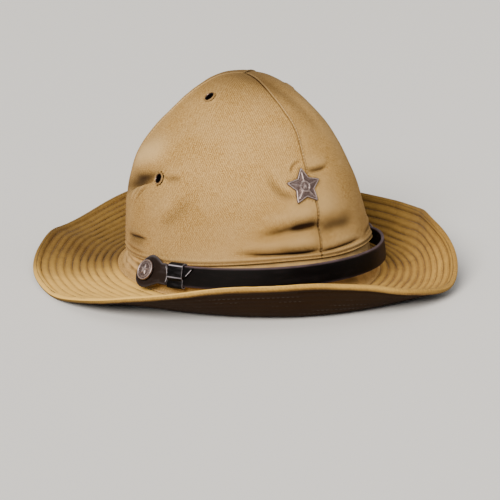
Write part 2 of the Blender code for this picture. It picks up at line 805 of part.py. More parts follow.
CENTRE = np.zeros(3)
CENTRE = hat_centre()
GORE_LENGTH = gore_length()
EYELET_SPOTS = eyelet_spots()
ROUTE = strap_route()
TAB_INNER = STRAP_THICKNESS / 2 + CLEARANCE
KEEPER_GAP = 2 * CLEARANCE

twill = material("khaki_twill", KHAKI, 0.9)
quilted = material("quilted_twill", BRIM_KHAKI, 0.9)
strap_leather = material("strap_leather", STRAP_BROWN, 0.35)
tab_leather = material("tab_leather", TAB_BROWN, 0.45)
bronze = material("dark_bronze", BRONZE, 0.45, 0.9)
khaki_metal = material("khaki_metal", KHAKI_METAL, 0.4, 0.7)

gore_right = make_gore("crown_gore_right", SEAMS[0], SEAMS[1], twill)
gore_left = make_gore("crown_gore_left", SEAMS[1], SEAMS[2], twill)
gore_back = make_gore("crown_gore_back", SEAMS[2], SEAMS[0] + 360, twill)
band = make_band(twill)
ring("brim", brim_skin(ring_turns()), quilted, sharp=60)

strap = make_strap(strap_leather)
tab = make_tab(tab_leather)
make_keeper(strap_leather)
make_tail(strap_leather)
shank_hole = SHANK_RADIUS + CLEARANCE
right_button = make_button("button_right", 0.0, tab, (gore_right, gore_back, band), bronze)
left_button = make_button("button_left", ROUTE[-1], strap, (gore_left, gore_back, band), bronze)
cut(strap, *right_button, shank_hole, "strap_hole_right")
cut(tab, *right_button, shank_hole, "tab_hole")
cut(strap, *left_button, shank_hole, "strap_hole_left")

make_star(gore_right, gore_left, bronze)
for level in EYELETS:
    make_eyelet(f"eyelet_right_{level}", gore_right, khaki_metal)
    make_eyelet(f"eyelet_left_{level}", gore_left, khaki_metal)
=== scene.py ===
"""Military bush hat: khaki twill crown and row-stitched brim, leather chin strap, metal star and eyelets."""

import math

import bmesh
import bpy
import numpy as np
from mathutils import Matrix, Vector


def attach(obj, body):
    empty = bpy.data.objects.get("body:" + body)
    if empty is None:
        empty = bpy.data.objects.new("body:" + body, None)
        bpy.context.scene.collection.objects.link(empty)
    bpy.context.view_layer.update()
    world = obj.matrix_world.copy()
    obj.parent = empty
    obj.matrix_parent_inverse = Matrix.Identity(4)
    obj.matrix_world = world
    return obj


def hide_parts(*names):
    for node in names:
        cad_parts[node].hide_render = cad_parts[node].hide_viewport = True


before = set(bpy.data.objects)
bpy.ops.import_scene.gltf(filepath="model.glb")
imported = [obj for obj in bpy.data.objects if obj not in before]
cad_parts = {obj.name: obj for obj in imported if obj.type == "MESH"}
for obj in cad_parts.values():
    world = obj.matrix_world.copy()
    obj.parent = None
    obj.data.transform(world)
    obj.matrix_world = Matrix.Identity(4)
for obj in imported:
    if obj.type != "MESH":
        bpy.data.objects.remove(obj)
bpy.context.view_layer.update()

MM = 0.001
UP = np.array([0.0, 0.0, 1.0])
CLEARANCE = 0.3 * MM

# Sizes of the crown, its hem and its collar, as in the solids
CENTRE = np.array([-6.24939, 1.29219, 0.0]) * MM
CROWN_HALF_LENGTH = 99.5 * MM
CROWN_HALF_WIDTH = 83.0 * MM
CROWN_HEIGHT = 120.5 * MM
CROWN_WALL = 1.4 * MM
GORE_LENGTH = 162.6 * MM
HEM_HEIGHT = 17.6 * MM
HEM_RISE = 10.2 * MM
HEM_PEAK = 1.6 * MM
HEM_DIP = 2.2 * MM
HEM_DIP_TURN = 10  # degrees
HEM_DIP_REACH = 22  # degrees
HEM_OVERLAP = 4.0 * MM
BAND_WALL = 1.4 * MM
BAND_FLARE = 5.0 * MM
BAND_SWEEP = 2.2  # power by which the collar sweeps out at its foot
HALF_LENGTH = CROWN_HALF_LENGTH + BAND_FLARE
HALF_WIDTH = CROWN_HALF_WIDTH + BAND_FLARE

# Panels of the crown, by the turns of their two seams in degrees, and the slack of their cloth: height and
# length of its waves in mm, and a seed
GORES = {"crown_gore_right": (-120, 0), "crown_gore_left": (0, 120), "crown_gore_back": (120, 240)}
GORE_SLACK = ((0.40, 75, 11), (0.16, 28, 12), (0.05, 9, 13))

# Stitching in mm: the fold that laps over a seam and the stitches beside it, over the hem's fold and in from
# the rim
SEAM_FOLD = 0.8
SEAM_STITCH = 0.9
HEM_STITCH = 1.7
RIM_STITCH = 2.6

# Sizes of the brim, whose bend is a share of its width, and which is joined to the collar at a height
BRIM_WIDTH = 62.0 * MM
BRIM_THICKNESS = 2.4 * MM
BRIM_INNER_SLOPE = math.radians(-8)
BRIM_BEND = 0.3
JUNCTION = 1.6 * MM + BRIM_THICKNESS / 2
ROW_COUNT = 11
ROW_PITCH = 5.5 * MM
RIM_LIP = 5.8 * MM

# Sizes of the chin strap and what fastens it. The tab's end and the keeper lie further on than their solids
FURTHER = 0.8 * MM
STRAP_WIDTH = 14.5 * MM
STRAP_THICKNESS = 2.0 * MM
TAB_LENGTH = 19.5 * MM
TAB_END_RADIUS = 11.8 * MM
TAB_THICKNESS = 1.6 * MM
TAB_BULGE = 1.6 * MM
TAB_INNER = STRAP_THICKNESS / 2 + CLEARANCE
KEEPER_LENGTH = 12.5 * MM
KEEPER_WALL = 1.3 * MM
KEEPER_START = TAB_LENGTH + 2 * CLEARANCE
KEEPER_SHEAR = 0.07
TAIL_WIDTH = 7.0 * MM
TAIL_THICKNESS = 1.5 * MM
TAIL_SHOWN = 5.5 * MM
TAIL_SLANT = 2.5 * MM
TAIL_RISE = 2.6 * MM
BUTTON_TURN = 78.8
BUTTON_RADIUS = 7.25 * MM
BUTTON_HEIGHT = 3.2 * MM
SHANK_RADIUS = 1.6 * MM

# Sizes of the badge and of the vent eyelets, which are narrower than their solids. Their places are turn in
# degrees and climb
STAR_RADIUS = 13.7 * MM
STAR_HEIGHT = 2.4 * MM
STAR_WAIST = 0.53
STAR_BEND = 75.0 * MM
STAR_PLACE = (-2.6, 0.298)
EYELET_HOLE = 2.9 * MM
EYELET_FLANGE = 4.4 * MM
EYELET_CUT = 3.9 * MM
EYELETS = {
    "eyelet_right_low": (-83.0, 0.323),
    "eyelet_left_low": (83.0, 0.323),
    "eyelet_right_high": (-79.5, 0.742),
    "eyelet_left_high": (79.5, 0.742),
}

# Profile of the crown by climb: height, half length, half width and backward shift, as shares
CROWN_TABLE = np.array([
    # climb, height, length, width, shift
    (0.000, 0.000, 1.000, 1.000, 0.000),
    (0.125, 0.180, 0.998, 0.960, 0.048),
    (0.250, 0.360, 0.967, 0.905, 0.076),
    (0.375, 0.530, 0.883, 0.808, 0.082),
    (0.500, 0.677, 0.753, 0.683, 0.050),
    (0.625, 0.800, 0.596, 0.539, 0.010),
    (0.750, 0.908, 0.418, 0.377, -0.004),
    (0.875, 0.983, 0.215, 0.193, -0.008),
    (1.000, 1.000, 0.000, 0.000, -0.009),
])

# Brim by turn: slope of its outer part in degrees, and the share of its width where it turns up
BRIM_TABLE = np.array([
    # turn, slope, place
    (-180, 29, 0.15),
    (-150, 10, 0.15),
    (-141, 13, 0.20),
    (-132, 10, 0.26),
    (-120, 6, 0.30),
    (-90, 4, 0.30),
    (-60, 25, 0.30),
    (-30, 47, 0.34),
    (-12, 52, 0.39),
    (0, 46, 0.42),
    (12, 33, 0.44),
    (30, 18, 0.46),
    (60, 78, 0.46),
    (90, 62, 0.51),
    (120, 64, 0.53),
    (150, 59, 0.40),
])

# Front seam by climb: how far it wanders to the wearer's left, in degrees
FRONT_SEAM_TABLE = np.array([
    # climb, wander
    (0.00, 1.2),
    (0.20, 2.4),
    (0.40, 1.2),
    (0.56, 2.6),
    (0.72, 0.0),
    (0.85, -2.0),
    (1.00, 0.0),
])

# Chin strap by turn: distance out and height as shares of its width, and lean in degrees
STRAP_TABLE = np.array([
    # turn, out, height, lean
    (-120, 0.44, 0.79, 36),
    (-90, 0.44, 0.80, 36),
    (-66, 0.46, 1.07, 21),
    (-35, 0.40, 1.28, 8),
    (0, 0.46, 1.36, 5),
    (35, 0.63, 1.30, 3),
    (62, 0.55, 1.14, 10),
    (90, 0.44, 0.79, 30),
    (120, 0.44, 0.79, 30),
])

# Outline of the tab forward of the button: place along it and half width, as shares
TAB_TABLE = np.array([
    # along, half width
    (0.00, 1.00),
    (0.22, 0.93),
    (0.48, 0.74),
    (0.72, 0.60),
    (0.90, 0.62),
    (1.00, 0.62),
])

# Folds of the crown. The line of each: place, tilt in degrees, half length and bow in mm. Its section, in
# mm: reach of the groove below and above the line, its depth, the roll of cloth over it, and how far
# that roll hangs down. Last, how much painted shade lies in and over the groove. A row without depth
# and roll is painted shade alone
FOLD_TABLE = (
    # turn, climb, tilt, along, bow, below, above, depth, roll, hang, shade
    (-99, 0.285, 18, 22, -0.8, 1.6, 9.5, 4.8, 2.0, 2.2, 0.20),
    (-98, 0.319, 10, 19, 0.0, 3.0, 3.5, 0.0, 0.0, 0.0, 0.38),
    (-110, 0.243, 19, 26, 0.0, 1.0, 10.0, 0.8, 0.0, 0.0, 0.62),
    (-75, 0.327, 4, 8, 0.3, 1.6, 2.4, 1.6, 0.4, 0.3, 0.50),
    (-97.5, 0.240, 42, 10.5, 1.0, 0.8, 1.2, 1.2, 1.3, 0.2, 0.35),
    (-101, 0.236, 42, 9, 0.8, 0.8, 1.2, 1.1, 1.3, 0.2, 0.30),
    (-97, 0.078, 3, 14, 0.6, 0.8, 1.5, 1.6, 0.5, 0.5, 0.60),
    (-100, 0.026, -1, 18, 0.0, 0.9, 1.4, 1.0, 0.4, 0.3, 0.30),
    (-68, 0.184, 38, 15, 0.0, 5.0, 6.0, 1.2, 0.5, 0.0, 0.25),
    (-18, 0.034, -1.3, 26, -0.3, 1.1, 2.8, 3.8, 0.8, 1.9, 0.85),
    (-9, 0.036, -2, 15, 0.0, 1.4, 3.8, 1.6, 0.3, 0.8, 0.60),
    (14.8, 0.036, 1.8, 19, 0.7, 0.9, 1.9, 3.0, 0.6, 1.4, 1.00),
    (-12.2, 0.127, 6.5, 20, 0.8, 1.5, 4.3, 3.1, 0.9, 1.1, 0.55),
    (-4.5, 0.130, 5, 11, 0.0, 2.0, 5.5, 1.8, 0.3, 0.3, 0.70),
    (13.9, 0.114, -1, 19, 0.6, 4.0, 7.0, 2.2, 0.8, 0.3, 0.65),
    (-16.4, 0.279, -39, 12, -3.9, 2.2, 3.4, 2.2, 0.6, 0.3, 0.45),
    (-5.5, 0.390, 37, 6, 1.7, 1.0, 1.5, 1.6, 0.5, 0.0, 0.40),
    (10, 0.357, 1, 10, -0.3, 1.1, 2.6, 2.4, 0.6, 0.5, 0.80),
    (-98, 0.050, 0, 14, 0.0, 7.0, 7.0, 0.0, 0.0, 0.0, 0.45),
    (21, 0.740, 95, 34, 0.0, 12.0, 12.0, 0.0, 0.0, 0.0, 0.22),
    (27, 0.680, 95, 26, 0.0, 8.0, 8.0, 0.5, 0.0, 0.0, 0.18),
    (60, 0.055, 2, 30, 0.8, 0.7, 1.8, 2.2, 0.7, 1.0, 0.70),
    (88, 0.260, -10, 20, 1.0, 1.8, 4.5, 2.8, 0.8, 0.6, 0.70),
    (104, 0.120, 12, 16, -1.0, 1.2, 2.6, 2.0, 0.6, 0.5, 0.60),
    (165, 0.070, -3, 26, 0.8, 0.8, 2.0, 2.4, 0.7, 1.0, 0.70),
    (196, 0.180, 10, 22, -1.2, 1.4, 3.6, 2.8, 0.8, 0.8, 0.60),
    (214, 0.060, 4, 18, 0.6, 0.8, 1.8, 2.0, 0.6, 0.8, 0.60),
    (150, 0.330, -14, 20, 1.5, 2.2, 4.8, 2.0, 0.7, 0.4, 0.50),
)


def curve(places, values, at):
    """Smooth curve through the values at the places: cubic arcs whose slopes are the mean of both sides."""
    slopes = np.gradient(values, places)
    at = np.asarray(at, float)
    left = np.clip(np.searchsorted(places, at) - 1, 0, len(places) - 2)
    step = places[left + 1] - places[left]
    share = (at - places[left]) / step
    rest = 1 - share
    ends = values[left] * (1 + 2 * share) * rest**2 + values[left + 1] * share**2 * (3 - 2 * share)
    return ends + step * share * rest * (slopes[left] * rest - slopes[left + 1] * share)


def signed_degrees(turn, start=0):
    """Turn in degrees from a start, between -180 and 180."""
    return (np.degrees(turn) - start + 180) % 360 - 180


def round_column(table, column, turn):
    """Column of a table whose rows go all round the hat, read at a turn."""
    places = np.concatenate([table[:, 0] - 360, table[:, 0], table[:, 0] + 360])
    return curve(places, np.tile(table[:, column], 3), signed_degrees(turn))


def crown_column(column, climb):
    """Column of the crown's profile, carried on past the top so that it passes there level."""
    mirror = -1 if column in (2, 3) else 1
    beyond = CROWN_TABLE[-2:-4:-1]
    places = np.concatenate([CROWN_TABLE[:, 0], 2 - beyond[:, 0]])
    return curve(places, np.concatenate([CROWN_TABLE[:, column], mirror * beyond[:, column]]), climb)


def smooth(low, high, value):
    """0 below low, 1 above high, and 3x^2 - 2x^3 of the share between."""
    share = np.clip((value - low) / (high - low), 0, 1)
    return share * share * (3 - 2 * share)


def bell(distance, width):
    """Gaussian bell: e to the minus square of distance over width."""
    return np.exp(-((distance / width) ** 2))


def unit(vectors):
    """Vectors divided by their lengths."""
    return vectors / np.linalg.norm(vectors, axis=-1, keepdims=True)


def waves(points, length, seed):
    """Random smooth relief of about one unit: a sum of plane waves near one length in mm, in all directions."""
    count = 28
    rng = np.random.default_rng(seed)
    ways = unit(rng.normal(size=(count, 3)))
    lengths = length * MM * rng.uniform(0.7, 1.5, count)
    phases = rng.uniform(0, math.tau, count)
    flat = points.reshape(-1, 3) @ (ways / lengths[:, None] * math.tau).T + phases
    return np.sin(flat).sum(axis=1).reshape(points.shape[:-1]) / math.sqrt(count)


def uneven(points, *parts):
    """Random unevenness: a sum of waves, each of a height and a length in mm and a seed."""
    return sum(height * waves(points, length, seed) for height, length, seed in parts)


def running_length(line):
    """Length along a line of points up to each of them: the running sum of its steps."""
    return np.concatenate([[0], np.cumsum(np.linalg.norm(np.diff(line, axis=0), axis=1))])


def read_line(at, length, line):
    """Values on a line of points at lengths along it, straight between its points."""
    return np.stack([np.interp(at, length, column) for column in line.T], axis=-1)


# Pieces


def grid_faces(rows, columns, wrap=False):
    """Quads of a grid of points, one row after another; wrap closes each row into a ring."""
    across = columns if wrap else columns - 1
    row = np.arange(rows - 1)[:, None] * columns
    here = np.arange(across)[None, :]
    after = (here + 1) % columns
    return np.stack([row + here, row + after, row + columns + after, row + columns + here], -1).reshape(-1, 4)


def ring_faces(points):
    """Quads of a grid of points whose rows are closed rings."""
    return grid_faces(*points.shape[:2], wrap=True)


def wall_faces(rows, columns, gone):
    """Quads of a sheet with an outer grid of points, an equal inner one, and a rim along each free edge."""
    outer = grid_faces(rows, columns)
    outer = outer[~gone.ravel()[outer].any(axis=1)]
    count = rows * columns
    start = outer.ravel()
    end = np.roll(outer, -1, axis=1).ravel()
    free = ~np.isin(start * count + end, end * count + start)
    start, end = start[free], end[free]
    rim = np.stack([end, start, start + count, end + count], axis=-1)
    return np.concatenate([outer, outer[:, ::-1] + count, rim])


def new_object(name, data):
    """Object made of the data, put in the scene."""
    made = bpy.data.objects.new(name, data)
    bpy.context.scene.collection.objects.link(made)
    return made


def piece(name, points, faces, finish, replaces=(), uv=None, values=None, sharp=60):
    """Mesh object from arrays of points and quads, with a UV map in metres and values at its points."""
    points = np.ascontiguousarray(points.reshape(-1, 3), dtype=np.float32)
    faces = np.ascontiguousarray(faces, dtype=np.int32)
    mesh = bpy.data.meshes.new(name)
    mesh.vertices.add(len(points))
    mesh.vertices.foreach_set("co", points.ravel())
    mesh.loops.add(faces.size)
    mesh.loops.foreach_set("vertex_index", faces.ravel())
    mesh.polygons.add(len(faces))
    mesh.polygons.foreach_set("loop_start", np.arange(0, faces.size, 4, dtype=np.int32))
    mesh.update(calc_edges=True)
    if uv is not None:
        flat = np.ascontiguousarray(uv.reshape(-1, 2)[faces.ravel()], dtype=np.float32)
        mesh.uv_layers.new(name="cloth").data.foreach_set("uv", flat.ravel())
    for key, value in (values or {}).items():
        layer = mesh.attributes.new(key, "FLOAT", "POINT")
        layer.data.foreach_set("value", np.ascontiguousarray(value.ravel(), dtype=np.float32))
    shape = bmesh.new()
    shape.from_mesh(mesh)
    bmesh.ops.remove_doubles(shape, verts=shape.verts, dist=0.001 * MM)
    if shape.calc_volume(signed=True) < 0:
        bmesh.ops.reverse_faces(shape, faces=shape.faces)
    shape.to_mesh(mesh)
    shape.free()
    mesh.shade_smooth()
    mesh.set_sharp_from_angle(angle=math.radians(sharp))
    mesh.materials.append(finish)
    made = new_object(name, mesh)
    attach(made, "root")
    if replaces:
        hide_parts(*replaces)


def capsules(places, along, out, length, radius):
    """Points and quads of many stitches: each a flattened spindle, whose ends dip into the cloth."""
    sides, flatten = 5, 0.6
    stations = np.array([-1.0, -0.6, 0.6, 1.0])
    girth = np.array([0.1, 1.0, 1.0, 0.1])
    sink = np.array([-1.0, 0.0, 0.0, -1.0])
    angles = np.arange(sides) * math.tau / sides
    side = np.cross(out, along)
    ring = girth[:, None] * radius
    lengthwise = along[:, None, None, :] * (stations * length / 2)[None, :, None, None]
    across = side[:, None, None, :] * (ring * np.cos(angles))[None, :, :, None]
    height = ring * np.sin(angles) * flatten + (sink * radius)[:, None]
    points = places[:, None, None, :] + lengthwise + across + out[:, None, None, :] * height[None, :, :, None]
    one = grid_faces(len(stations), sides, wrap=True)
    step = len(stations) * sides
    faces = one[None] + (np.arange(len(places)) * step)[:, None, None]
    return points.reshape(-1, 3), faces.reshape(-1, 4)


def evenly(line, out, pitch):
    """Places at an even pitch along a line of points, with the line's direction and an outward one."""
    length = running_length(line)
    count = max(int(length[-1] / pitch), 1)
    at = (np.arange(count) + 0.5) * length[-1] / count
    along = unit(read_line(at + pitch / 4, length, line) - read_line(at - pitch / 4, length, line))
    facing = read_line(at, length, out)
    facing -= along * (facing * along).sum(axis=1, keepdims=True)
    return read_line(at, length, line), along, unit(facing)


def sewing(name, lines, finish, pitch, radius):
    """One piece of thread: stitches along several lines, each a pair of point and outward arrays."""
    points, faces, count = [], [], 0
    for line, out in lines:
        shape, quads = capsules(*evenly(line, out, pitch), pitch * 0.8, radius)
        points.append(shape)
        faces.append(quads + count)
        count += len(shape)
    piece(name, np.concatenate(points), np.concatenate(faces), finish)


# Materials


def linear(colour):
    """Linear colour from an sRGB hex string."""
    parts = np.array([int(colour[place:place + 2], 16) for place in (0, 2, 4)]) / 255
    return (*np.where(parts <= 0.04045, parts / 12.92, ((parts + 0.055) / 1.055) ** 2.4), 1.0)


def add_node(tree, kind, inputs=None, output=0, **settings):
    """Output of a new node of a kind, with its settings; each input is a value or another node's output."""
    made = tree.nodes.new("ShaderNode" + kind)
    for name, value in settings.items():
        setattr(made, name, value)
    for key, value in (inputs or {}).items():
        if isinstance(value, bpy.types.NodeSocket):
            tree.links.new(value, made.inputs[key])
        else:
            made.inputs[key].default_value = value
    return made.outputs[output] if made.outputs else None


def new_finish(name):
    """Empty material and its tree of nodes."""
    made = bpy.data.materials.new(name)
    made.use_nodes = True
    made.node_tree.nodes.clear()
    return made, made.node_tree


def twill(name, light, dark, worn_and_lit, painted_shade_colour):
    """Cotton twill, spun and woven, then dyed and washed soft.

    To the eye: quite matt, a fine slanting grain broken up by thick and thin yarns, large faded patches, paler
    where it stands proud, from wear and painted light, and darker and browner with painted shade in its creases."""
    made, tree = new_finish(name)
    cloth = add_node(tree, "UVMap", uv_map="cloth")
    slanted = add_node(tree, "Mapping", {"Vector": cloth, "Rotation": (0, 0, math.radians(-38))})
    # The real ribs are 0.6 mm apart: drawn at 1.3 mm, so that they show in the render
    rib_pitch = 1.3 * MM
    ribs = add_node(tree, "TexWave", {"Vector": slanted, "Scale": math.tau / 20 / rib_pitch, "Distortion": 0.8,
                                      "Detail": 2.0, "Detail Scale": 0.9}, "Fac", wave_profile="SIN")
    drawn_out = add_node(tree, "Mapping", {"Vector": cloth, "Scale": (1, 0.35, 1)})
    slubs = add_node(tree, "TexNoise", {"Vector": drawn_out, "Scale": 1 / (1.1 * MM), "Detail": 3.0})
    grain = add_node(tree, "TexNoise", {"Vector": cloth, "Scale": 1 / (0.7 * MM), "Detail": 1.0})
    yarns = add_node(tree, "Mix", {0: 0.65, 2: slubs, 3: grain})
    threads = add_node(tree, "Mix", {0: 0.12, 2: yarns, 3: ribs})
    # Fading from sun and washing shows in patches as broad as a hand's palm
    patches = add_node(tree, "TexNoise", {"Vector": add_node(tree, "TexCoord", output="Object"),
                                          "Scale": 1 / (45 * MM), "Detail": 5.0, "Roughness": 0.6})
    weave = add_node(tree, "MapRange", {0: threads, 1: 0.36, 2: 0.66}, interpolation_type="SMOOTHSTEP")
    base = add_node(tree, "Mix", {0: weave, 6: linear(dark), 7: linear(light)}, 2, data_type="RGBA")
    fading = add_node(tree, "MapRange", {0: patches, 1: 0.38, 2: 0.68, 3: 0.0, 4: 0.3})
    faded = add_node(tree, "Mix", {0: fading, 6: base, 7: linear(worn_and_lit)}, 2, data_type="RGBA")
    # Wear and painted light: the ridge value pales the cloth towards its third colour
    ridge = add_node(tree, "Attribute", output="Fac", attribute_name="ridge")
    rubbing = add_node(tree, "Math", {0: ridge, 1: 0.75}, operation="MULTIPLY")
    rubbed_and_lit = add_node(tree, "Mix", {0: rubbing, 6: faded, 7: linear(worn_and_lit)}, 2, data_type="RGBA")
    # Painted shade: the value read here darkens the cloth towards its last colour
    painted_shade = add_node(tree, "Attribute", output="Fac", attribute_name="painted_shade")
    colour = add_node(tree, "Mix", {0: painted_shade, 6: rubbed_and_lit, 7: linear(painted_shade_colour)}, 2, data_type="RGBA")
    bump = add_node(tree, "Bump", {"Height": threads, "Strength": 0.6, "Distance": 0.25 * MM})
    add_node(tree, "OutputMaterial", {"Surface": add_node(tree, "BsdfPrincipled", {
        "Base Color": colour, "Normal": bump, "Roughness": 0.95, "Sheen Weight": 0.02, "Sheen Roughness": 0.6,
        "Specular IOR Level": 0.03})})
    return made


def leather(name, colour, edge_colour, roughness):
    """Cowhide, dyed through and rolled smooth, its cut edges burnished.

    To the eye: nearly even and dark with a dull shine, fine pores, long faint scuffs, and edges polished paler
    by wear; the edge value also paints highlights and a sheen in the edge colour."""
    made, tree = new_finish(name)
    cloth = add_node(tree, "UVMap", uv_map="cloth")
    pores = add_node(tree, "TexVoronoi", {"Vector": cloth, "Scale": 1 / (0.9 * MM)})
    drawn_out = add_node(tree, "Mapping", {"Vector": cloth, "Scale": (0.25, 1, 1)})
    scuffs = add_node(tree, "TexNoise", {"Vector": drawn_out, "Scale": 1 / (3 * MM), "Detail": 5.0})
    rubbing = add_node(tree, "MapRange", {0: scuffs, 1: 0.5, 2: 0.9, 3: 0.0, 4: 0.05})
    dye = add_node(tree, "Mix", {0: rubbing, 6: linear(colour), 7: linear(edge_colour)}, 2, data_type="RGBA")
    broken = add_node(tree, "MapRange", {0: scuffs, 1: 0.3, 2: 0.6, 3: 0.45, 4: 1.0})
    # Painted highlight and sheen, with edge wear: the value read here pales the leather to its edge colour
    edge = add_node(tree, "Attribute", output="Fac", attribute_name="edge")
    polish_and_highlight = add_node(tree, "Math", {0: edge, 1: broken}, operation="MULTIPLY")
    tone = add_node(tree, "Mix", {0: polish_and_highlight, 6: dye, 7: linear(edge_colour)}, 2, data_type="RGBA")
    gloss = add_node(tree, "MapRange", {0: scuffs, 1: 0.3, 2: 0.8, 3: roughness, 4: roughness + 0.2})
    height = add_node(tree, "Mix", {0: 0.4, 2: pores, 3: scuffs})
    bump = add_node(tree, "Bump", {"Height": height, "Strength": 0.25, "Distance": 0.15 * MM})
    add_node(tree, "OutputMaterial", {"Surface": add_node(tree, "BsdfPrincipled", {
        "Base Color": tone, "Normal": bump, "Roughness": gloss, "Specular IOR Level": 0.1})})
    return made


def patinated(name, dark, bright, roughness):
    """Brass, stamped from sheet, turned brown by age and handling.

    To the eye: a brown satin metal, cloudy at the scale of a pinhead, with raised lines polished back to a
    paler, shinier tone."""
    made, tree = new_finish(name)
    space = add_node(tree, "TexCoord", output="Object")
    mottle = add_node(tree, "TexNoise", {"Vector": space, "Scale": 1 / (1.2 * MM), "Detail": 4.0})
    clouds = add_node(tree, "MapRange", {0: mottle, 1: 0.35, 2: 0.75, 3: 0.0, 4: 0.30})
    patina = add_node(tree, "Mix", {0: clouds, 6: linear(dark), 7: linear(bright)}, 2, data_type="RGBA")
    broken = add_node(tree, "MapRange", {0: mottle, 1: 0.3, 2: 0.6, 3: 0.5, 4: 1.0})
    ridge = add_node(tree, "Attribute", output="Fac", attribute_name="ridge")
    rubbing = add_node(tree, "Math", {0: ridge, 1: broken}, operation="MULTIPLY")
    tone = add_node(tree, "Mix", {0: rubbing, 6: patina, 7: linear(bright)}, 2, data_type="RGBA")
    gloss = add_node(tree, "MapRange", {0: mottle, 1: 0.3, 2: 0.8, 3: roughness, 4: roughness + 0.2})
    bump = add_node(tree, "Bump", {"Height": mottle, "Strength": 0.25, "Distance": 0.08 * MM})
    add_node(tree, "OutputMaterial", {"Surface": add_node(tree, "BsdfPrincipled", {
        "Base Color": tone, "Normal": bump, "Roughness": gloss, "Metallic": 0.85})})
    return made


def lacquered(name, lacquer, metal):
    """Brass eyelet, khaki lacquer stoved on before it was set, which wears through where it is rolled over.

    To the eye: a ring that matches the cloth, with a thin dark shiny lip of bare metal round the hole."""
    made, tree = new_finish(name)
    space = add_node(tree, "TexCoord", output="Object")
    chips = add_node(tree, "TexNoise", {"Vector": space, "Scale": 1 / (1.0 * MM), "Detail": 3.0})
    ridge = add_node(tree, "Attribute", output="Fac", attribute_name="ridge")
    loss = add_node(tree, "Math", {0: ridge, 1: chips}, operation="ADD")
    bare = add_node(tree, "MapRange", {0: loss, 1: 0.85, 2: 1.05})
    tone = add_node(tree, "Mix", {0: bare, 6: linear(lacquer), 7: linear(metal)}, 2, data_type="RGBA")
    gloss = add_node(tree, "MapRange", {0: bare, 3: 0.6, 4: 0.3})
    add_node(tree, "OutputMaterial", {"Surface": add_node(tree, "BsdfPrincipled", {
        "Base Color": tone, "Roughness": gloss, "Metallic": bare})})
    return made


def thread(name, colour, dirt):
    """Cotton sewing thread, twisted and mercerised.

    To the eye: even, a touch glossier than the cloth, darker here and there with dirt."""
    made, tree = new_finish(name)
    space = add_node(tree, "TexCoord", output="Object")
    mottle = add_node(tree, "TexNoise", {"Vector": space, "Scale": 1 / (5 * MM)})
    dirty = add_node(tree, "MapRange", {0: mottle, 1: 0.3, 2: 0.7, 3: 0.0, 4: 0.6})
    tone = add_node(tree, "Mix", {0: dirty, 6: linear(colour), 7: linear(dirt)}, 2, data_type="RGBA")
    add_node(tree, "OutputMaterial", {"Surface": add_node(tree, "BsdfPrincipled", {
        "Base Color": tone, "Roughness": 0.7, "Sheen Weight": 0.1})})
    return made


# Crown


def hem_height(turn):
    """Height of the hem over the brim's inner edge: waves round the hat, and a dip near the front."""
    dip = HEM_DIP * bell(signed_degrees(turn, HEM_DIP_TURN), HEM_DIP_REACH)
    return HEM_HEIGHT + HEM_RISE * np.cos(turn) + HEM_PEAK * np.cos(2 * turn) - dip


def plain_crown(turn, climb):
    """Crown without folds: an ellipse round the hat at each climb, from the hem to the level top."""
    rise = crown_column(1, climb)
    reach = crown_column(3, climb) * CROWN_HALF_WIDTH
    length = crown_column(2, climb) * CROWN_HALF_LENGTH
    shift = crown_column(4, climb) * CROWN_HALF_LENGTH
    level = JUNCTION + hem_height(turn) * (1 - rise) + (HEM_HEIGHT + CROWN_HEIGHT) * rise
    places = [reach * np.sin(turn), shift - length * np.cos(turn), level]
    return np.stack(np.broadcast_arrays(*places), axis=-1) - CENTRE


def crown_directions(turn, climb):
    """Outward normal and upward direction of the plain crown, from its slopes along turn and climb.

    The slopes are differences over a small step, and near the top those just short of its point."""
    step, highest = 0.002, 0.985
    climb = np.minimum(climb, highest)
    sideways = plain_crown(turn + step, climb) - plain_crown(turn - step, climb)
    upward = unit(plain_crown(turn, climb + step) - plain_crown(turn, climb - step))
    return unit(np.cross(sideways, upward)), upward


def crown_place(turn, climb):
    """Place on the plain crown at a turn in degrees and a climb, and its outward normal."""
    at = (np.array(math.radians(turn)), np.array(climb))
    return plain_crown(*at), crown_directions(*at)[0]


def mean_radius(climb):
    """Radius of the crown at a climb: the mean of its half length and half width there."""
    return (crown_column(2, climb) * CROWN_HALF_LENGTH + crown_column(3, climb) * CROWN_HALF_WIDTH) / 2


def from_place(turn, climb, other_turn, other_climb):
    """Distances in mm, sideways and upward on the cloth, from a place on the crown."""
    off = (turn - math.radians(other_turn) + math.pi) % math.tau - math.pi
    return off * mean_radius(climb) / MM, (climb - other_climb) * GORE_LENGTH / MM


def fold_relief(turn, climb):
    """Folds: height and hang in mm, and painted shade. Each is a groove along a bowed line, with a roll over it."""
    relief = np.zeros(np.broadcast(turn, climb).shape)
    hang, shade = np.zeros_like(relief), np.zeros_like(relief)
    for fold_turn, fold_climb, tilt, along, bow, below, above, depth, roll, drop, dark in FOLD_TABLE:
        sideways, upward = from_place(turn, climb, fold_turn, fold_climb)
        lean = math.radians(tilt)
        main = sideways * math.cos(lean) + upward * math.sin(lean)
        cross = upward * math.cos(lean) - sideways * math.sin(lean) + bow * (main / along) ** 2
        reach = np.exp(-((main / along) ** 4))
        groove = bell(cross, np.where(cross < 0, below, above))
        # By reaches above the line: painted shade darkest at 0.45, hanging most at 0.9, the roll's top at 2.0
        relief += reach * (roll * bell(cross - 2.0 * above, 1.2 * above) - depth * groove)
        hang += reach * drop * bell(cross - 0.9 * above, 0.8 * above)
        shade += reach * dark * bell(cross - 0.45 * above, 0.55 * above + 0.2 * below)
    return relief, hang, shade


def seam_turn(seam, climb):
    """Turn of a seam by climb, the front one wandering."""
    wander = curve(FRONT_SEAM_TABLE[:, 0], FRONT_SEAM_TABLE[:, 1], climb) if seam % 360 == 0 else 0 * climb
    return np.radians(seam + wander)


def seam_distance(turn, climb, seam):
    """Distance in mm on the cloth from a seam, growing with the turn."""
    return (turn - seam_turn(seam, climb)) * mean_radius(climb) / MM


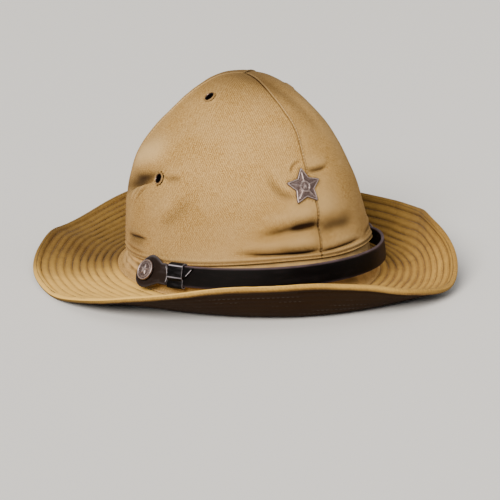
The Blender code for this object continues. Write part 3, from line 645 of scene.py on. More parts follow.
def gore_relief(turn, climb, first_seam, second_seam, base):
    """Height over the plain crown, hang and painted shade: folds, slack cloth, lapped seams and turned-up hem."""
    relief, hang, shade = fold_relief(turn, climb)
    relief += uneven(base, *GORE_SLACK)
    start = seam_distance(turn, climb, first_seam)
    end = -seam_distance(turn, climb, second_seam)
    height = climb * GORE_LENGTH / MM
    # At its first seam the panel's fold laps over its neighbour and is sewn through; both panels pucker there
    pucker_pitch, hole_pitch = 7, 2.4
    puckers = 0.5 + 0.5 * np.sin(height * math.tau / pucker_pitch + waves(base, 30, 14) * 2.5)
    holes = (0.5 + 0.5 * np.cos(height * math.tau / hole_pitch)) * (1 - smooth(0.5, 0.8, climb))
    relief += (0.15 + 0.45 * smooth(0.25, 0.6, climb)) * bell(start - SEAM_FOLD, 0.5)
    relief -= 0.5 * bell(start, 0.2) + 0.8 * bell(end, 0.6)
    relief += 0.10 * puckers * (bell(start - 3, 4) - bell(end - 2, 4))
    # Painted shade lies along both edges of the seam and in its needle holes
    shade += (0.25 + 0.25 * smooth(0.4, 0.7, climb)) * (bell(end, 0.5) + bell(start, 0.25))
    shade += 0.9 * holes * bell(start - 0.5, 0.5)
    # The hem is a turning with a rounded fold at its foot, sunk along its stitches, with painted shade along
    # them and at the fold
    relief += 0.25 * (1 - smooth(7.0, 9.5, height)) + 0.50 * bell(height - 3.4, 0.8)
    relief += 0.30 * bell(height - 0.6, 0.4) - 0.50 * bell(height - HEM_STITCH, 0.55)
    relief -= 0.9 * (1 - smooth(0, 0.6, height))
    shade += 0.45 * bell(height - HEM_STITCH, 0.55) + 0.25 * bell(height, 0.3)
    # Each eyelet presses the cloth level under its flange, with no painted shade under it and a ring of
    # painted shade round it
    for place, seat in EYELET_SEATS.items():
        away = np.hypot(*from_place(turn, climb, *place))
        near = 1 - smooth(5.2, 8.0, away)
        relief = relief * (1 - near) + (seat + 0.4 * smooth(4.5, 5.2, away)) * near
        hang = hang * (1 - near)
        shade = shade * smooth(4.2, 4.8, away) + 0.5 * bell(away - 4.6, 0.4)
    # No cloth stands higher than the star's back under its middle, and a painted shadow lines the cloth round its
    # edge
    sideways, upward = from_place(turn, climb, *STAR_PLACE)
    away = np.hypot(sideways, upward)
    outline, _ = star_outline(np.arctan2(sideways, upward))
    shade += 0.6 * bell(away - outline * STAR_RADIUS / MM - 0.3, 0.6)
    return np.minimum(relief, STAR_SEAT + 9 * smooth(9.0, 14.0, away)), hang, shade


def gore_skin(turn, climb, first_seam, second_seam):
    """Points of a panel's outer face, its normal, its relief in mm and its painted shade."""
    base = plain_crown(turn, climb)
    normal, upward = crown_directions(turn, climb)
    relief, hang, shade = gore_relief(turn, climb, first_seam, second_seam, base)
    outer = base + normal * (relief * MM)[..., None] - upward * (hang * MM)[..., None]
    return outer, normal, relief, shade


def make_gore(name, first_seam, second_seam):
    """Crown panel: a grid of turn between its seams and climb, moved out by its relief, with an inner face."""
    # Rows by mm over the hem and columns by mm of a mean width, closer together at the panel's edges
    rows = np.concatenate([np.arange(0, 4, 0.35), np.arange(4, 30, 0.7), np.arange(30, 161.8, 1.1), [162.2, 162.6]])
    width = 190
    fine = np.concatenate([np.arange(0, 3, 0.25), np.arange(3, 6, 0.6)])
    across = np.concatenate([fine, np.linspace(6, width - 6, 155), width - fine[::-1]])[None, :] / width
    climb = (rows * MM / GORE_LENGTH)[:, None]
    start, end = seam_turn(first_seam, climb), seam_turn(second_seam, climb)
    turn, climb = np.broadcast_arrays(start + (end - start) * across, climb)
    outer, normal, relief, shade = gore_skin(turn, climb, first_seam, second_seam)
    inner = outer - normal * (np.maximum(relief, 0) * MM + CROWN_WALL)[..., None]
    gone = np.zeros(turn.shape, bool)
    for place in EYELETS.values():
        gone |= np.hypot(*from_place(turn, climb, *place)) * MM < EYELET_CUT
    # Painted shade: darkest in the folds' grooves and hollows, then over the top and along the foot of the crown,
    # and over the whole inner face
    slack = uneven(plain_crown(turn, climb), *GORE_SLACK[:1])
    painted_shade = 0.85 * np.clip(shade, 0, 1) + 0.15 * smooth(0.5, 4.0, slack - relief)
    painted_shade = np.clip(painted_shade + 0.60 * smooth(0.63, 0.97, climb) + 0.18 * (1 - smooth(0.10, 0.42, climb)), 0, 1)
    # Paler where the cloth stands proud and over the seam's lapped fold: wear and a painted highlight
    lap = bell(seam_distance(turn, climb, first_seam) - SEAM_FOLD, 0.5) * smooth(0.3, 0.5, climb)
    ridge = np.clip((relief - slack) * 0.5 + lap, 0, 1)
    arc = seam_distance(turn, climb, (first_seam + second_seam) / 2) * MM
    uv = np.stack([arc, climb * GORE_LENGTH], axis=-1)
    piece(name.replace("crown_", "cloth_"), np.concatenate([outer, inner]), wall_faces(*turn.shape, gone), KHAKI,
          [name], np.concatenate([uv, uv]),
          {"painted_shade": np.concatenate([painted_shade, painted_shade * 0 + 0.3]), "ridge": np.concatenate([ridge, ridge * 0])})


def crown_seams():
    """Lines of stitching beside each seam and along the hem."""
    lines = []
    up = np.linspace(0.03, 0.97, 400)
    for first, second in GORES.values():
        beside = seam_turn(first, up) + SEAM_STITCH * MM / mean_radius(up)
        hem = np.radians(np.linspace(first + 2.5, second - 1.5, 400))
        low = np.full_like(hem, HEM_STITCH * MM / GORE_LENGTH)
        for turn, climb, lift in ((beside, up, 0.08), (hem, low, 0.12)):
            places, normal, _, _ = gore_skin(turn, climb, first, second)
            lines.append((places + normal * lift * MM, normal))
    return lines


# Collar and brim


def ellipse(turn, half_length, half_width):
    """Point of a level ellipse round the hat, at z = 0."""
    flat = np.stack([half_width * np.sin(turn), -half_length * np.cos(turn), 0 * turn], axis=-1)
    return flat - CENTRE


def ellipse_outward(turn):
    """Level outward normal of the ellipse at the brim's inner edge."""
    return unit(np.stack([HALF_LENGTH * np.sin(turn), -HALF_WIDTH * np.cos(turn), 0 * turn], axis=-1))


def make_band():
    """Collar: a strip that rises from the brim's inner edge as a power of its height and tucks under the hem."""
    turn = np.radians(np.arange(0, 360, 0.75))
    outward = ellipse_outward(turn)
    hem = plain_crown(turn, np.zeros_like(turn))
    normal, _ = crown_directions(turn, np.full_like(turn, 0.01))
    tucked = hem - normal * (CROWN_WALL + 2 * CLEARANCE)
    foot = ellipse(turn, HALF_LENGTH - 0.2 * MM, HALF_WIDTH - 0.2 * MM)
    height = np.concatenate([np.zeros(3), np.linspace(0, 1, 26), [1.0]])[:, None]
    outer = foot + (tucked - foot) * (1 - (1 - height) ** BAND_SWEEP)[..., None]
    bulge = 1.5 * MM * bell(height, 0.2)
    outer[..., 2] = JUNCTION + (tucked[:, 2] - JUNCTION) * height + bulge
    # Its foot laps a little over the brim, and its top goes on under the hem
    outer[:3] += outward * (np.array([1.4, 1.3, 0.8]) * MM)[:, None, None]
    outer[:3] -= UP * (np.array([1.2, 0.5, 0.1]) * MM)[:, None, None]
    outer[-1, :, 2] += HEM_OVERLAP
    slack = uneven(outer, (0.45, 26, 21), (0.1, 9, 22))
    folds = np.sin(turn * 34 + 5 * height + 2.5 * waves(outer, 90, 23))
    weight = height * (1 - height) * 4
    # Cloth dragged towards the right button lies in fine folds that run along the hem
    drag = np.sin(20 * height + 5 * turn) * bell(np.degrees(turn) - 256, 20)
    relief = (slack + 0.3 * folds + 0.8 * drag + 0.6) * weight
    outer = outer + outward * (relief * MM)[..., None]
    inner = outer[:2:-1] - outward * BAND_WALL
    inner_foot = foot - outward * BAND_WALL
    inner_foot[:, 2] = JUNCTION - 0.9 * MM
    rows = np.concatenate([outer, inner, inner_foot[None], outer[:1]])
    radius, row_step = 95 * MM, 1.2 * MM
    across = np.arange(1, len(rows) + 1)[:, None] * row_step
    uv = np.stack(np.broadcast_arrays(turn[None] * radius, across), axis=-1)
    # Painted shade in the collar's folds and just under the hem
    painted_shade = np.zeros(rows.shape[:2])
    painted_shade[:len(outer)] = 0.7 * np.clip(0.5 * weight - relief, 0, 1) + 0.1 * smooth(0.85, 1.0, height)
    # Painted light: paler over the collar, most on the wearer's left front
    ridge = np.zeros(rows.shape[:2])
    ridge[:len(outer)] = (0.5 + 0.7 * bell(np.degrees(turn) - 40, 35)) * smooth(0.1, 0.5, height)
    piece("cloth_collar", rows, ring_faces(rows), KHAKI, ["crown_band"], uv,
          {"painted_shade": np.clip(painted_shade, 0, 1), "ridge": ridge})


def brim_slopes(turn, share):
    """Slope of the brim: level inside, turning smoothly to its outer slope about its bending place."""
    outer = np.radians(round_column(BRIM_TABLE, 1, turn))[:, None]
    place = round_column(BRIM_TABLE, 2, turn)[:, None]
    return BRIM_INNER_SLOPE + (outer - BRIM_INNER_SLOPE) * smooth(place - BRIM_BEND, place + BRIM_BEND, share[None])


def brim(turn, share):
    """Middle of the brim's cloth and its upward normal: the running sum of its slopes outward.

    No place sinks so far that the cloth would go through the ground."""
    fine = np.linspace(0, 1, 125)
    slope = brim_slopes(turn, fine)
    between = (slope[:, 1:] + slope[:, :-1]) / 2
    step = BRIM_WIDTH / (len(fine) - 1)
    at = share * (len(fine) - 1)
    low = np.clip(np.floor(at).astype(int), 0, len(fine) - 2)
    part = at - low
    runs = []
    for steps in (np.cos(between) * step, np.sin(between) * step):
        run = np.pad(np.cumsum(steps, axis=1), ((0, 0), (1, 0)))
        runs.append(run[:, low] * (1 - part) + run[:, low + 1] * part)
    reach, lift = runs
    slope = brim_slopes(turn, share)
    level = np.maximum(JUNCTION + lift, BRIM_THICKNESS / 2 * np.cos(slope))
    outward = ellipse_outward(turn)[:, None, :]
    base = ellipse(turn, HALF_LENGTH, HALF_WIDTH)[:, None, :]
    places = base + outward * reach[..., None] + UP * level[..., None]
    normal = UP * np.cos(slope)[..., None] - outward * np.sin(slope)[..., None]
    return places, normal


def row_wander(places, share):
    """How far in mm the stitched rows wander from even spacing: smooth random waves, none at the rim."""
    settled = smooth(0, 5, (1 - share) * BRIM_WIDTH / MM)[None, :]
    return uneven(places, (0.35, 90, 31), (0.15, 35, 35)) * settled


def quilting(places, share, groove, puff, lip):
    """Height in mm of the cloth over the brim's middle: arches between stitched grooves, and a full round rim.

    The rim is an ellipse from the edge to its top and from there down to the first groove. Also returned: the
    height as a share of its arch, and the distance from the rim in mm."""
    from_rim = (1 - share)[None, :] * BRIM_WIDTH / MM + row_wander(places, share)
    phase = (from_rim * MM - RIM_LIP) / ROW_PITCH
    between = phase - np.floor(phase)
    arch = np.where(phase > ROW_COUNT - 1, 0.2, 1 - np.abs(2 * between - 1) ** 3)
    part = np.clip(from_rim * MM / RIM_LIP, 0, 1)
    round_part = 2 * np.sqrt(part * (1 - part))
    tube = np.where(part < 0.5, lip * round_part, groove + (lip - groove) * round_part)
    height = np.where(phase < 0, tube, groove + puff * arch)
    return height, np.where(phase < 0, round_part, arch), from_rim


def rim_drift(places, share):
    """Slow rise and fall of the brim's cloth towards its rim, in metres."""
    return UP * (uneven(places, (0.45, 60, 36)) * MM * share[None, :] ** 2)[..., None]


def make_brim():
    """Brim: a ring whose section runs out under it, round the full rim and back over its quilted rows."""
    turn = np.radians(np.arange(0, 360, 0.6))
    degrees = signed_degrees(turn)[:, None]
    lip = 0.5 * (1 - np.cos(np.linspace(0, math.pi, 18))) * RIM_LIP / BRIM_WIDTH
    top_share = 1 - np.concatenate([lip[1:], np.linspace(lip[-1], 1, 84)[1:]])
    places, normal = brim(turn, top_share)
    height, quilt, from_rim = quilting(places, top_share, groove=0.40, puff=0.90, lip=2.2)
    puckers = uneven(places, (0.12, 7, 32), (0.18, 18, 33))
    height += puckers * (0.3 + 0.7 * quilt) * smooth(0, 2, from_rim) - 0.5 * bell(from_rim - RIM_STITCH, 0.4)
    # Behind the crown the rows near the rim are pressed flat
    behind = 1 - smooth(-135, -98, degrees) * (1 - smooth(40, 110, degrees))
    flattened = behind * (1 - smooth(7, 16, from_rim))
    height -= 0.45 * flattened * quilt * smooth(3, 4, from_rim)
    top = places + rim_drift(places, top_share) + normal * (height * MM)[..., None]
    under_share = 1 - np.concatenate([lip, np.linspace(lip[-1], 1, 40)[1:]])[::-1]
    below, under = brim(turn, under_share)
    depth, _, under_from_rim = quilting(below, under_share, groove=1.0, puff=0.45, lip=2.0)
    depth += uneven(below, (0.08, 9, 34)) * smooth(0, 2, under_from_rim)
    bottom = below + rim_drift(below, under_share) - under * (depth * MM)[..., None]
    bottom[..., 2] = np.maximum(bottom[..., 2], 0.02 * MM)
    section = np.concatenate([bottom, top, bottom[:, :1]], axis=1).transpose(1, 0, 2)
    # Painted shade in the grooves of the rows, along the rim's stitches, behind the crown, on the wearer's left
    # rim and underneath, more so away from the rim, whose lit strip is widest in front; less by the right button
    painted_light_by_button = smooth(-128, -100, degrees) * (1 - smooth(-30, 0, degrees))
    stitched = 0.55 * (1 - smooth(-0.1, 0.40, quilt)) * smooth(1, 4, from_rim)
    stitched += 0.45 * bell(from_rim - RIM_STITCH, 0.4)
    stitched *= (1 - 0.5 * painted_light_by_button) * (1 - 0.5 * flattened)
    painted_shade_left_rim = 0.20 * smooth(20, 50, degrees) * (1 - smooth(4, 16, from_rim)) * (1 - behind)
    edge = 0.75 - 0.6 * smooth(0.1, 0.6, np.sin(brim_slopes(turn, np.ones(1))))
    lit = 2.3 * bell(degrees - 15, 22) - 0.4
    shaded = edge + (0.98 - edge) * smooth(0.2, 3.8, under_from_rim - lit)
    painted_shade = np.concatenate([shaded, stitched + 0.55 * behind + painted_shade_left_rim, shaded[:, :1]], axis=1)
    # Paler on top of the rows and at the rim, from wear and painted light; painted light over the front brim by
    # the right button; the rim's under edge paler from wear and a painted highlight
    rubbed_and_lit = 0.3 * smooth(0.8, 1.0, quilt) + painted_light_by_button
    rubbed_and_lit += 0.3 * (1 - smooth(0, 3, from_rim)) * (1 - smooth(20, 60, degrees))
    rubbed_and_lit += 0.6 * (1 - smooth(3, 6, from_rim)) * smooth(-124, -104, degrees) * (1 - smooth(-90, -70, degrees))
    worn_and_lit_edge = 0.5 * (1 - smooth(0.2, 1.8, under_from_rim))
    ridge = np.concatenate([worn_and_lit_edge, np.clip(rubbed_and_lit, 0, 1.2), worn_and_lit_edge[:, :1]], axis=1)
    radius = 125 * MM
    across = np.concatenate([under_share, 2 - top_share, [2.02]]) * BRIM_WIDTH
    uv = np.stack(np.broadcast_arrays(turn[None] * radius, across[:, None]), axis=-1)
    piece("quilted_brim", section, ring_faces(section), QUILTED, ["brim"], uv,
          {"painted_shade": np.clip(painted_shade, 0, 1).T, "ridge": ridge.T})


def brim_rows(side, row_lift):
    """Lines of stitching in the brim's grooves, on its upper (1) or under (-1) side, over its middle by mm."""
    turn = np.radians(np.linspace(0, 360, 721))
    rim_lift = 1.75
    lines = []
    for from_rim in [RIM_STITCH, *(RIM_LIP + ROW_PITCH * np.arange(ROW_COUNT)) / MM]:
        share = np.array([1 - from_rim * MM / BRIM_WIDTH])
        places, normal = brim(turn, share)
        inward = np.cross(np.cross(UP, ellipse_outward(turn))[:, None], normal)
        line = places + rim_drift(places, share) + inward * (row_wander(places, share) * MM)[..., None]
        line = line + side * normal * (rim_lift if from_rim == RIM_STITCH else row_lift) * MM
        line[..., 2] = np.maximum(line[..., 2], 0.4 * MM)
        lines.append((line[:, 0], side * normal[:, 0]))
    return lines


# Chin strap


def strap_route():
    """Chin strap's middle line, an ellipse moved out, up and leaning by its table, with its directions.

    Returned: lengths from the right button, the line with its outward and upward directions, and the length
    from button to button."""
    turn = np.radians(np.linspace(-118, 118, 473))
    degrees = np.degrees(turn)
    out, height, lean = (curve(STRAP_TABLE[:, 0], STRAP_TABLE[:, column], degrees) for column in (1, 2, 3))
    level = ellipse_outward(turn)
    place = ellipse(turn, HALF_LENGTH, HALF_WIDTH) + level * (out * STRAP_WIDTH - BAND_FLARE)[:, None]
    place[:, 2] = JUNCTION + height * STRAP_WIDTH
    length = running_length(place)
    length -= np.interp(-BUTTON_TURN, degrees, length)
    lean = np.radians(lean)[:, None]
    outward = level * np.cos(lean) + UP * np.sin(lean)
    upward = UP * np.cos(lean) - level * np.sin(lean)
    lines = np.concatenate([place, outward, upward], axis=1)
    return length, lines, float(np.interp(BUTTON_TURN, degrees, length))


def on_strap(along, up, out):
    """Place at a length along the strap, a height on it and a distance out from its middle."""
    place, outward, upward = np.split(read_line(along, STRAP_LENGTHS, STRAP_LINES), 3, axis=-1)
    return place + outward * np.asarray(out)[..., None] + upward * np.asarray(up)[..., None]


def strip(node, along, half_width, inner, thickness, finish, bow=0.0, rise=0.0, slant=0.0, worn_and_lit=1.0,
          painted_sheen=0.0):
    """Leather strip: an oblong with rounded corners carried along the strap, half_width wide at each place."""
    half = half_width(along)[:, None]
    corner = np.minimum(0.45 * MM, half)
    # Half of the section is a face and the two corners after it, and the other half is its opposite
    flat, bend = np.linspace(-1, 1, 13), np.radians([72, 50, 28, 6, -6, -28, -50, -72])
    section = np.array([[*flat, *np.ones(8)], [*np.ones(17), *-np.ones(4)], [*np.zeros(13), *np.cos(bend)],
                        [*np.ones(13), *np.sin(bend)]])
    face, level, side, lift = np.concatenate([section, -section], axis=1)
    up = face * (half - corner) + side * corner
    out = inner + thickness / 2 + level * (thickness / 2 - corner) + lift * corner
    crowned = 0.15 * MM * (1 - face**2)
    out = out + crowned * (level > 0)
    forward = np.clip(along[:, None] / TAB_LENGTH, 0, 1) ** 4
    place = along[:, None] + forward * (slant * face - bow * face**2)
    points = on_strap(place, up + rise, out)
    ends = points.mean(axis=1, keepdims=True)[[0, -1]] + 0 * points[:1]
    # Painted highlight, with some wear: paler along its upper edge, less so along the lower one, and on the end
    # where it is cut
    rubbed_and_lit = smooth(1.2 * MM, 0.2 * MM, half - np.abs(up)) * np.where(up > 0, worn_and_lit, 0.3 * worn_and_lit)
    cut = smooth(0.6 * MM, 0.2 * MM, along[-1] - along)[:, None] * (level > 0) * (np.abs(face) < 0.8)
    edge = np.maximum(np.maximum(rubbed_and_lit, cut), np.broadcast_to(painted_sheen, along.shape)[:, None] * (level > 0))
    around = np.arange(1, up.shape[1] + 1) * 0.9 * MM
    uv = np.stack(np.broadcast_arrays(place, around), axis=-1)
    points, edge, uv = (np.concatenate([first, rows, last]) for first, rows, last in (
        (ends[:1], points, ends[1:]), (edge[:1], edge, edge[-1:]), (uv[:1], uv, uv[-1:])))
    piece(f"leather_{node}", points, ring_faces(points), finish, [node], uv, {"edge": edge}, sharp=50)


def round_end(radius, count=14):
    """Lengths from a round end's middle to its stations, from the tip inward."""
    return -radius * np.cos(np.radians(np.linspace(4, 90, count)))


def make_strap():
    """Strap from button to button: even in width, with round ends."""
    radius = STRAP_WIDTH / 2
    end = round_end(radius)
    along = np.concatenate([end, np.linspace(0, STRAP_SPAN, 220)[1:-1], STRAP_SPAN - end[::-1]])

    def half_width(place):
        beyond = np.maximum(np.maximum(-place, place - STRAP_SPAN), 0)
        return np.sqrt(np.maximum(radius**2 - beyond**2, 0))

    # A painted brown sheen lies where it bends round the wearer's left temple
    share = along / STRAP_SPAN
    painted_sheen = 0.28 * smooth(0.64, 0.74, share) * (1 - smooth(0.80, 0.90, share))
    strip("chin_strap", along, half_width, -STRAP_THICKNESS / 2, STRAP_THICKNESS, STRAP,
          painted_sheen=painted_sheen)


def make_tab():
    """Tab: round at the button, waisted, with a bowed free end."""
    along = np.concatenate([round_end(TAB_END_RADIUS, 22), np.linspace(0, TAB_LENGTH + FURTHER, 40)[1:]])

    def half_width(place):
        front = curve(TAB_TABLE[:, 0] * TAB_LENGTH, TAB_TABLE[:, 1], np.maximum(place, 0))
        back = np.sqrt(np.maximum(1 - (np.minimum(place, 0) / TAB_END_RADIUS) ** 2, 0))
        return TAB_END_RADIUS * np.where(place > 0, front, back)

    strip("strap_tab", along, half_width, TAB_INNER, TAB_THICKNESS, TAB, bow=1.5 * TAB_BULGE,
          slant=-2.0 * MM, worn_and_lit=0.12)


def make_tail():
    """Free end of the strap: narrow, cut at a slant, from under the keeper to where it shows."""
    along = np.linspace(TAB_LENGTH + 4 * CLEARANCE, KEEPER_START + KEEPER_LENGTH + TAIL_SHOWN, 24)

    def half_width(place):
        return np.full_like(place, TAIL_WIDTH / 2)

    strip("strap_tail", along, half_width, TAB_INNER, TAIL_THICKNESS, KEEPER, rise=TAIL_RISE,
          slant=TAIL_SLANT, worn_and_lit=0.0)


def keeper_outline(grow):
    """Outline of the keeper round the strap and its tail, its corners cut again and again until round."""
    half = STRAP_WIDTH / 2 + CLEARANCE + grow
    outer = STRAP_THICKNESS / 2 + CLEARANCE + grow
    hump = TAB_INNER + TAIL_THICKNESS + CLEARANCE + grow
    side = TAIL_WIDTH / 2 + 0.5 * MM + grow
    shoulders = [(TAIL_RISE + side + 0.4 * MM, outer), (TAIL_RISE + side, hump), (TAIL_RISE - side, hump),
                 (TAIL_RISE - side - 0.8 * MM, outer)]
    corners = np.array([(-half, -outer), (half, -outer), (half, outer), *shoulders, (-half, outer)])
    for share in (0.12, 0.25, 0.25):
        after = np.roll(corners, -1, axis=0)
        cuts = [corners * (1 - share) + after * share, corners * share + after * (1 - share)]
        corners = np.stack(cuts, axis=1).reshape(-1, 2)
    corners = np.concatenate([corners, corners[:1]])
    length = running_length(corners)
    return read_line(np.linspace(0, length[-1], 160, endpoint=False), length, corners)


def make_keeper():
    """Keeper: a rounded oblong section carried round the strap's outline."""
    angles = np.radians(np.arange(0, 360, 12))
    square = 5.0
    reach = 1 / (np.abs(np.cos(angles)) ** square + np.abs(np.sin(angles)) ** square) ** (1 / square)
    along = KEEPER_START + KEEPER_LENGTH / 2 * (1 + reach * np.cos(angles))
    share = (0.5 + 0.5 * reach * np.sin(angles))[None, :, None]
    outline = keeper_outline(0)[:, None] * (1 - share) + keeper_outline(KEEPER_WALL)[:, None] * share
    up, out = outline[..., 0], outline[..., 1]
    along = along[None] + FURTHER - KEEPER_SHEAR * up
    # Painted highlights lie along both shoulders of its hump over the tail, and at its forward end
    off = (up - TAIL_RISE) / MM
    rubbed_and_lit = (bell(off - 3.8, 0.3) + 0.5 * bell(off + 4.2, 0.3)) * (out > 2 * MM)
    edge = np.maximum(0.3 * (np.cos(angles) > 0.9), rubbed_and_lit)
    around = np.arange(len(up) + 1)[:, None] * 0.27 * MM
    points, along, edge = (np.concatenate([rows, rows[:1]]) for rows in (on_strap(along, up, out), along, edge))
    uv = np.stack(np.broadcast_arrays(along, around), axis=-1)
    piece("leather_strap_keeper", points, ring_faces(points), KEEPER, ["strap_keeper"], uv,
          {"edge": edge}, sharp=50)


# Metal fittings


def upright(axis):
    """Sideways, upward and outward directions of a fitting whose Z runs along an axis."""
    out = unit(axis)
    side = unit(np.cross(UP, out))
    return np.stack([side, np.cross(out, side), out])


def levels(node, place, axis):
    """Lowest and highest level of a CAD node's points along an axis from a place."""
    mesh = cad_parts[node].data
    points = np.empty(len(mesh.vertices) * 3, np.float32)
    mesh.vertices.foreach_get("co", points)
    along = (points.reshape(-1, 3) - place) @ axis
    return float(along.min()), float(along.max())


def fitting(name, radius, angles, level, place, axis, finish, ridge, sharp=40):
    """Metal piece from rings of points by radius, angle and level, stood at a place with its level along an axis."""
    points = np.stack([radius * np.sin(angles), radius * np.cos(angles), level], axis=-1) @ upright(axis) + place
    piece(f"metal_{name}", points, ring_faces(points), finish, [name], None, {"ridge": ridge}, sharp=sharp)


def star_outline(angles):
    """Radius of a five-pointed star of radius 1 by angle, and the angle off its nearest arm."""
    fifth = math.pi / 5
    arm = np.abs((angles + fifth) % (2 * fifth) - fifth)
    side = STAR_WAIST * math.sin(fifth)
    return side / (side * np.cos(arm) - (STAR_WAIST * math.cos(fifth) - 1) * np.sin(arm)), arm


def make_button(name, along):
    """Button: a profile turned round, with a small plain star inside a beaded ring."""
    middle = on_strap(np.array(along), 0.0, 0.0)
    axis = on_strap(np.array(along), 0.0, 1.0) - middle
    low, high = levels(name, middle, axis)
    profile = np.array([
        # radius, height
        (0.00, 0.84), (0.07, 0.84), (0.14, 0.84), (0.20, 0.84), (0.25, 0.84), (0.30, 0.83), (0.35, 0.83),
        (0.40, 0.82), (0.45, 0.81), (0.50, 0.80), (0.55, 0.79), (0.60, 0.77), (0.66, 0.73), (0.72, 0.69),
        (0.78, 0.65), (0.83, 0.66), (0.87, 0.74), (0.90, 0.79), (0.94, 0.80), (0.97, 0.76), (1.00, 0.66),
        (1.00, 0.40), (0.99, 0.28), (0.94, 0.12), (0.86, 0.04), (0.60, 0.02), (0.26, 0.00), (0.22, -0.10),
    ])
    radius = np.concatenate([profile[:, 0] * BUTTON_RADIUS, [SHANK_RADIUS, 0]])[:, None]
    height = np.concatenate([high - BUTTON_HEIGHT + profile[:, 1] * BUTTON_HEIGHT, [low, low]])[:, None]
    angles = np.radians(np.arange(0, 360, 3))
    share = radius / BUTTON_RADIUS
    facing = (np.arange(len(radius)) < 20)[:, None]
    beads = 0.26 * bell(share - 0.70, 0.06) * (0.5 + 0.5 * np.cos(angles * 24)) * facing
    inside = 0.56 * star_outline(angles)[0] - share
    star = (0.42 * smooth(0.0, 0.10, inside) + 0.35 * np.clip(inside, 0, 1)) * facing
    ridge = np.clip(beads * 3 + star * 1.6 + bell(share - 0.93, 0.06) * facing, 0, 1)
    fitting(name, radius, angles, height + (beads + star) * MM, middle, axis, BRONZE, ridge)


def make_star():
    """Badge: level rings shaped as a five-pointed star, raised at the rim, with a ringed boss."""
    place, axis = crown_place(*STAR_PLACE)
    seat = levels("star_badge", place, axis)[1] - STAR_HEIGHT
    angles = np.radians(np.arange(0, 360, 1.5))
    outline, arm = star_outline(angles)
    outline = outline * (1 - 0.05 * bell(np.degrees(arm), 3.0))
    table = np.array([
        # share of the outline, height
        (0.00, 0.98), (0.10, 0.90), (0.20, 0.80), (0.30, 0.73), (0.40, 0.67), (0.50, 0.61), (0.60, 0.55),
        (0.68, 0.51), (0.75, 0.47), (0.79, 0.45), (0.82, 0.46), (0.84, 0.54), (0.86, 0.62), (0.89, 0.66),
        (0.93, 0.66), (0.96, 0.62), (0.985, 0.54), (1.00, 0.42), (1.00, 0.20), (0.99, 0.05), (0.95, 0.00),
        (0.60, 0.00), (0.20, 0.00), (0.00, 0.00),
    ])
    share = np.concatenate([np.linspace(0, 0.30, 13)[:-1], table[3:, 0]])
    height = np.concatenate([np.interp(share[:12], table[:4, 0], table[:4, 1]), table[3:, 1]])
    front = (np.arange(len(share)) < len(share) - 6)[:, None]
    share, height = share[:, None], height[:, None]
    radius = share * outline * STAR_RADIUS
    boss = 0.30 * STAR_RADIUS
    ring, knob = bell((radius - 0.82 * boss) / MM, 0.45), bell(radius / MM, 1.1)
    dome = 0.80 * STAR_HEIGHT + (0.30 * ring + 0.45 * knob - 0.35 * bell((radius - 0.52 * boss) / MM, 0.4)) * MM
    spine = bell(radius * np.sin(arm) / MM, 0.45) * smooth(boss, boss + 1 * MM, radius) * (share < 0.78) * front
    level = height * STAR_HEIGHT + 0.30 * MM * spine
    level = np.where(front & (radius < boss), np.maximum(level, dome), level)
    level = level + seat - (radius * np.sin(angles)) ** 2 / (2 * STAR_BEND)
    ridge = bell(share - 0.92, 0.05) * front + 0.5 * spine
    ridge = np.clip(ridge + (0.9 * ring + 0.8 * knob) * (radius < boss) * front, 0, 1)
    fitting("star_badge", radius, angles, level, place, axis, BRONZE, ridge, sharp=22)


def make_eyelet(name):
    """Eyelet: a C-shaped section turned round, rolled over both faces of the cloth."""
    place, axis = crown_place(*EYELETS[name])
    low, high = (level / MM for level in levels(name, place, axis))
    hole, flange = EYELET_HOLE / MM, EYELET_FLANGE / MM
    section = MM * np.array([
        # radius, height
        (hole, low + 0.3), (hole, high - 0.9), (hole + 0.05, high - 0.5), (hole + 0.2, high - 0.18),
        (hole + 0.42, high), (hole + 0.65, high - 0.1), (flange - 0.15, high - 0.45), (flange, high - 0.8),
        (flange - 0.1, high - 1.0), (hole + 0.5, high - 1.0), (hole + 0.5, low + 0.6), (flange, low + 0.6),
        (flange, low + 0.3), (hole + 0.6, low), (hole + 0.2, low + 0.1), (hole, low + 0.3),
    ])
    angles = np.radians(np.arange(0, 360, 6))
    radius, height = section[:, :1], np.broadcast_to(section[:, 1:], (len(section), len(angles)))
    ridge = np.broadcast_to(1 - smooth(0.45, 0.8, radius / MM - hole), height.shape)
    fitting(name, radius, angles, height, place, axis, EYELET, ridge)


# Building


# Each cloth's last colour is painted shade; its third, a faded tone from wear, also serves as painted light
KHAKI = twill("cotton_twill_khaki", "cba463", "88632f", "d3b17a", "2c1a08")
QUILTED = twill("quilted_cotton_twill", "a98045", "684a24", "ebbd62", "1d0d02")
# Each leather's second colour is its burnished edge, also its painted highlight
STRAP = leather("dyed_strap_leather", "040202", "5c4d52", 0.5)
KEEPER = leather("polished_keeper_leather", "040304", "c9c4d0", 0.45)
TAB = leather("dyed_tab_leather", "201713", "d0c9d2", 0.5)
BRONZE = patinated("patinated_brass", "5d4a45", "c4b2ae", 0.4)
EYELET = lacquered("lacquered_brass_khaki", "8d6c3a", "574842")
THREAD = thread("khaki_cotton_thread", "8a6c3c", "5a4020")
ROW_THREAD = thread("worn_cotton_thread", "6b4d27", "35240f")
# The under side's thread is darker: painted shade
DARK_THREAD = thread("shaded_cotton_thread", "2c1d0d", "160e06")

STRAP_LENGTHS, STRAP_LINES, STRAP_SPAN = strap_route()

# Heights in mm over the plain crown of the cloth under the eyelets and the star, from their solids
EYELET_SEATS = {place: levels(name, *crown_place(*place))[1] / MM - 1.0 for name, place in EYELETS.items()}
STAR_SEAT = (levels("star_badge", *crown_place(*STAR_PLACE))[1] - STAR_HEIGHT) / MM - 0.1

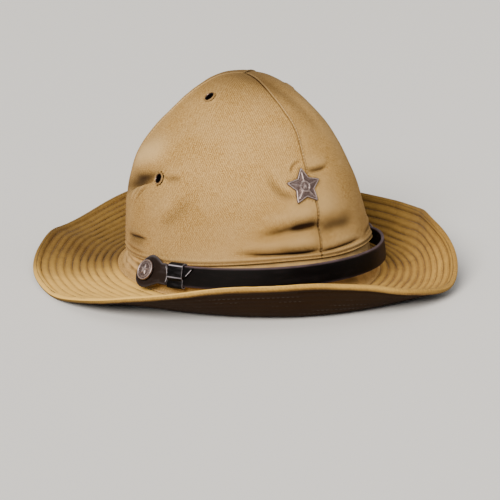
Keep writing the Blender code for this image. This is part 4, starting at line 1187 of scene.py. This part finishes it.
for name, seams in GORES.items():
    make_gore(name, *seams)
sewing("crown_stitches", crown_seams(), THREAD, pitch=2.6 * MM, radius=0.24 * MM)
make_band()
make_brim()
sewing("brim_stitches_upper", brim_rows(1, 0.55), ROW_THREAD, pitch=3.2 * MM, radius=0.27 * MM)
sewing("brim_stitches_under", brim_rows(-1, 1.05), DARK_THREAD, pitch=3.2 * MM, radius=0.24 * MM)
make_strap()
make_tab()
make_keeper()
make_tail()
make_button("button_right", 0.0)
make_button("button_left", STRAP_SPAN)
make_star()
for name in EYELETS:
    make_eyelet(name)


# Floor, light and camera


def make_floor():
    """Pale matt studio floor, wide enough to reach past the view."""
    size = 6.0
    mesh = bpy.data.meshes.new("floor")
    mesh.from_pydata([(-size, -size, 0), (size, -size, 0), (size, size, 0), (-size, size, 0)], [], [(0, 1, 2, 3)])
    made, tree = new_finish("studio_floor_matt_white")
    add_node(tree, "OutputMaterial", {"Surface": add_node(tree, "BsdfPrincipled", {
        "Base Color": linear("f2f1ef"), "Roughness": 0.95, "Specular IOR Level": 0.1})})
    mesh.materials.append(made)
    floor = new_object("floor", mesh)


def way_towards(azimuth, elevation):
    """Direction from the hat towards an azimuth and an elevation, both in radians."""
    level = math.cos(elevation)
    return Vector((math.sin(azimuth) * level, -math.cos(azimuth) * level, math.sin(elevation)))


def light(name, kind, azimuth, elevation, distance, colour, **settings):
    """Light of a kind at an azimuth and elevation in degrees, aimed at the middle of the hat."""
    way = way_towards(math.radians(azimuth), math.radians(elevation))
    lamp = bpy.data.lights.new(name, kind)
    lamp.color = linear(colour)[:3]
    for key, value in settings.items():
        setattr(lamp, key, value)
    aimed = way.to_track_quat("Z", "Y").to_matrix().to_4x4()
    new_object(name, lamp).matrix_world = Matrix.Translation(way * distance + Vector((0, 0, 0.06))) @ aimed


def make_camera():
    """Camera at the photograph's azimuth, elevation, roll and distance from the brim's inner edge."""
    azimuth, elevation, roll = math.radians(-29.2), math.radians(16.3), math.radians(-1.21)
    distance = 1.515
    way = way_towards(azimuth, elevation)
    right = Vector((math.cos(azimuth), math.sin(azimuth), 0))
    above = way.cross(right)
    across = right * math.cos(roll) + above * math.sin(roll)
    turn = Matrix((across, way.cross(across), way)).transposed().to_4x4()
    lens = bpy.data.cameras.new("camera")
    lens.sensor_width = 36.0
    lens.lens = 152.8
    lens.shift_x = 0.0044
    lens.shift_y = 0.027
    lens.clip_start = 0.05
    aim = Vector((-CENTRE[0], -CENTRE[1], JUNCTION))
    camera = new_object("camera", lens)
    camera.matrix_world = Matrix.Translation(aim + way * distance) @ turn
    bpy.context.scene.camera = camera


make_floor()
light("key", "SUN", -51, 34, 0.0, "fff8ee", energy=5.0, angle=math.radians(30))
light("fill", "AREA", 30, 50, 1.8, "fffaf2", shape="SQUARE", size=1.6, energy=6)
world = bpy.data.worlds.new("studio")
world.use_nodes = True
backdrop = world.node_tree.nodes["Background"].inputs
backdrop["Color"].default_value = linear("ffffff")
backdrop["Strength"].default_value = 0.32
bpy.context.scene.world = world
make_camera()
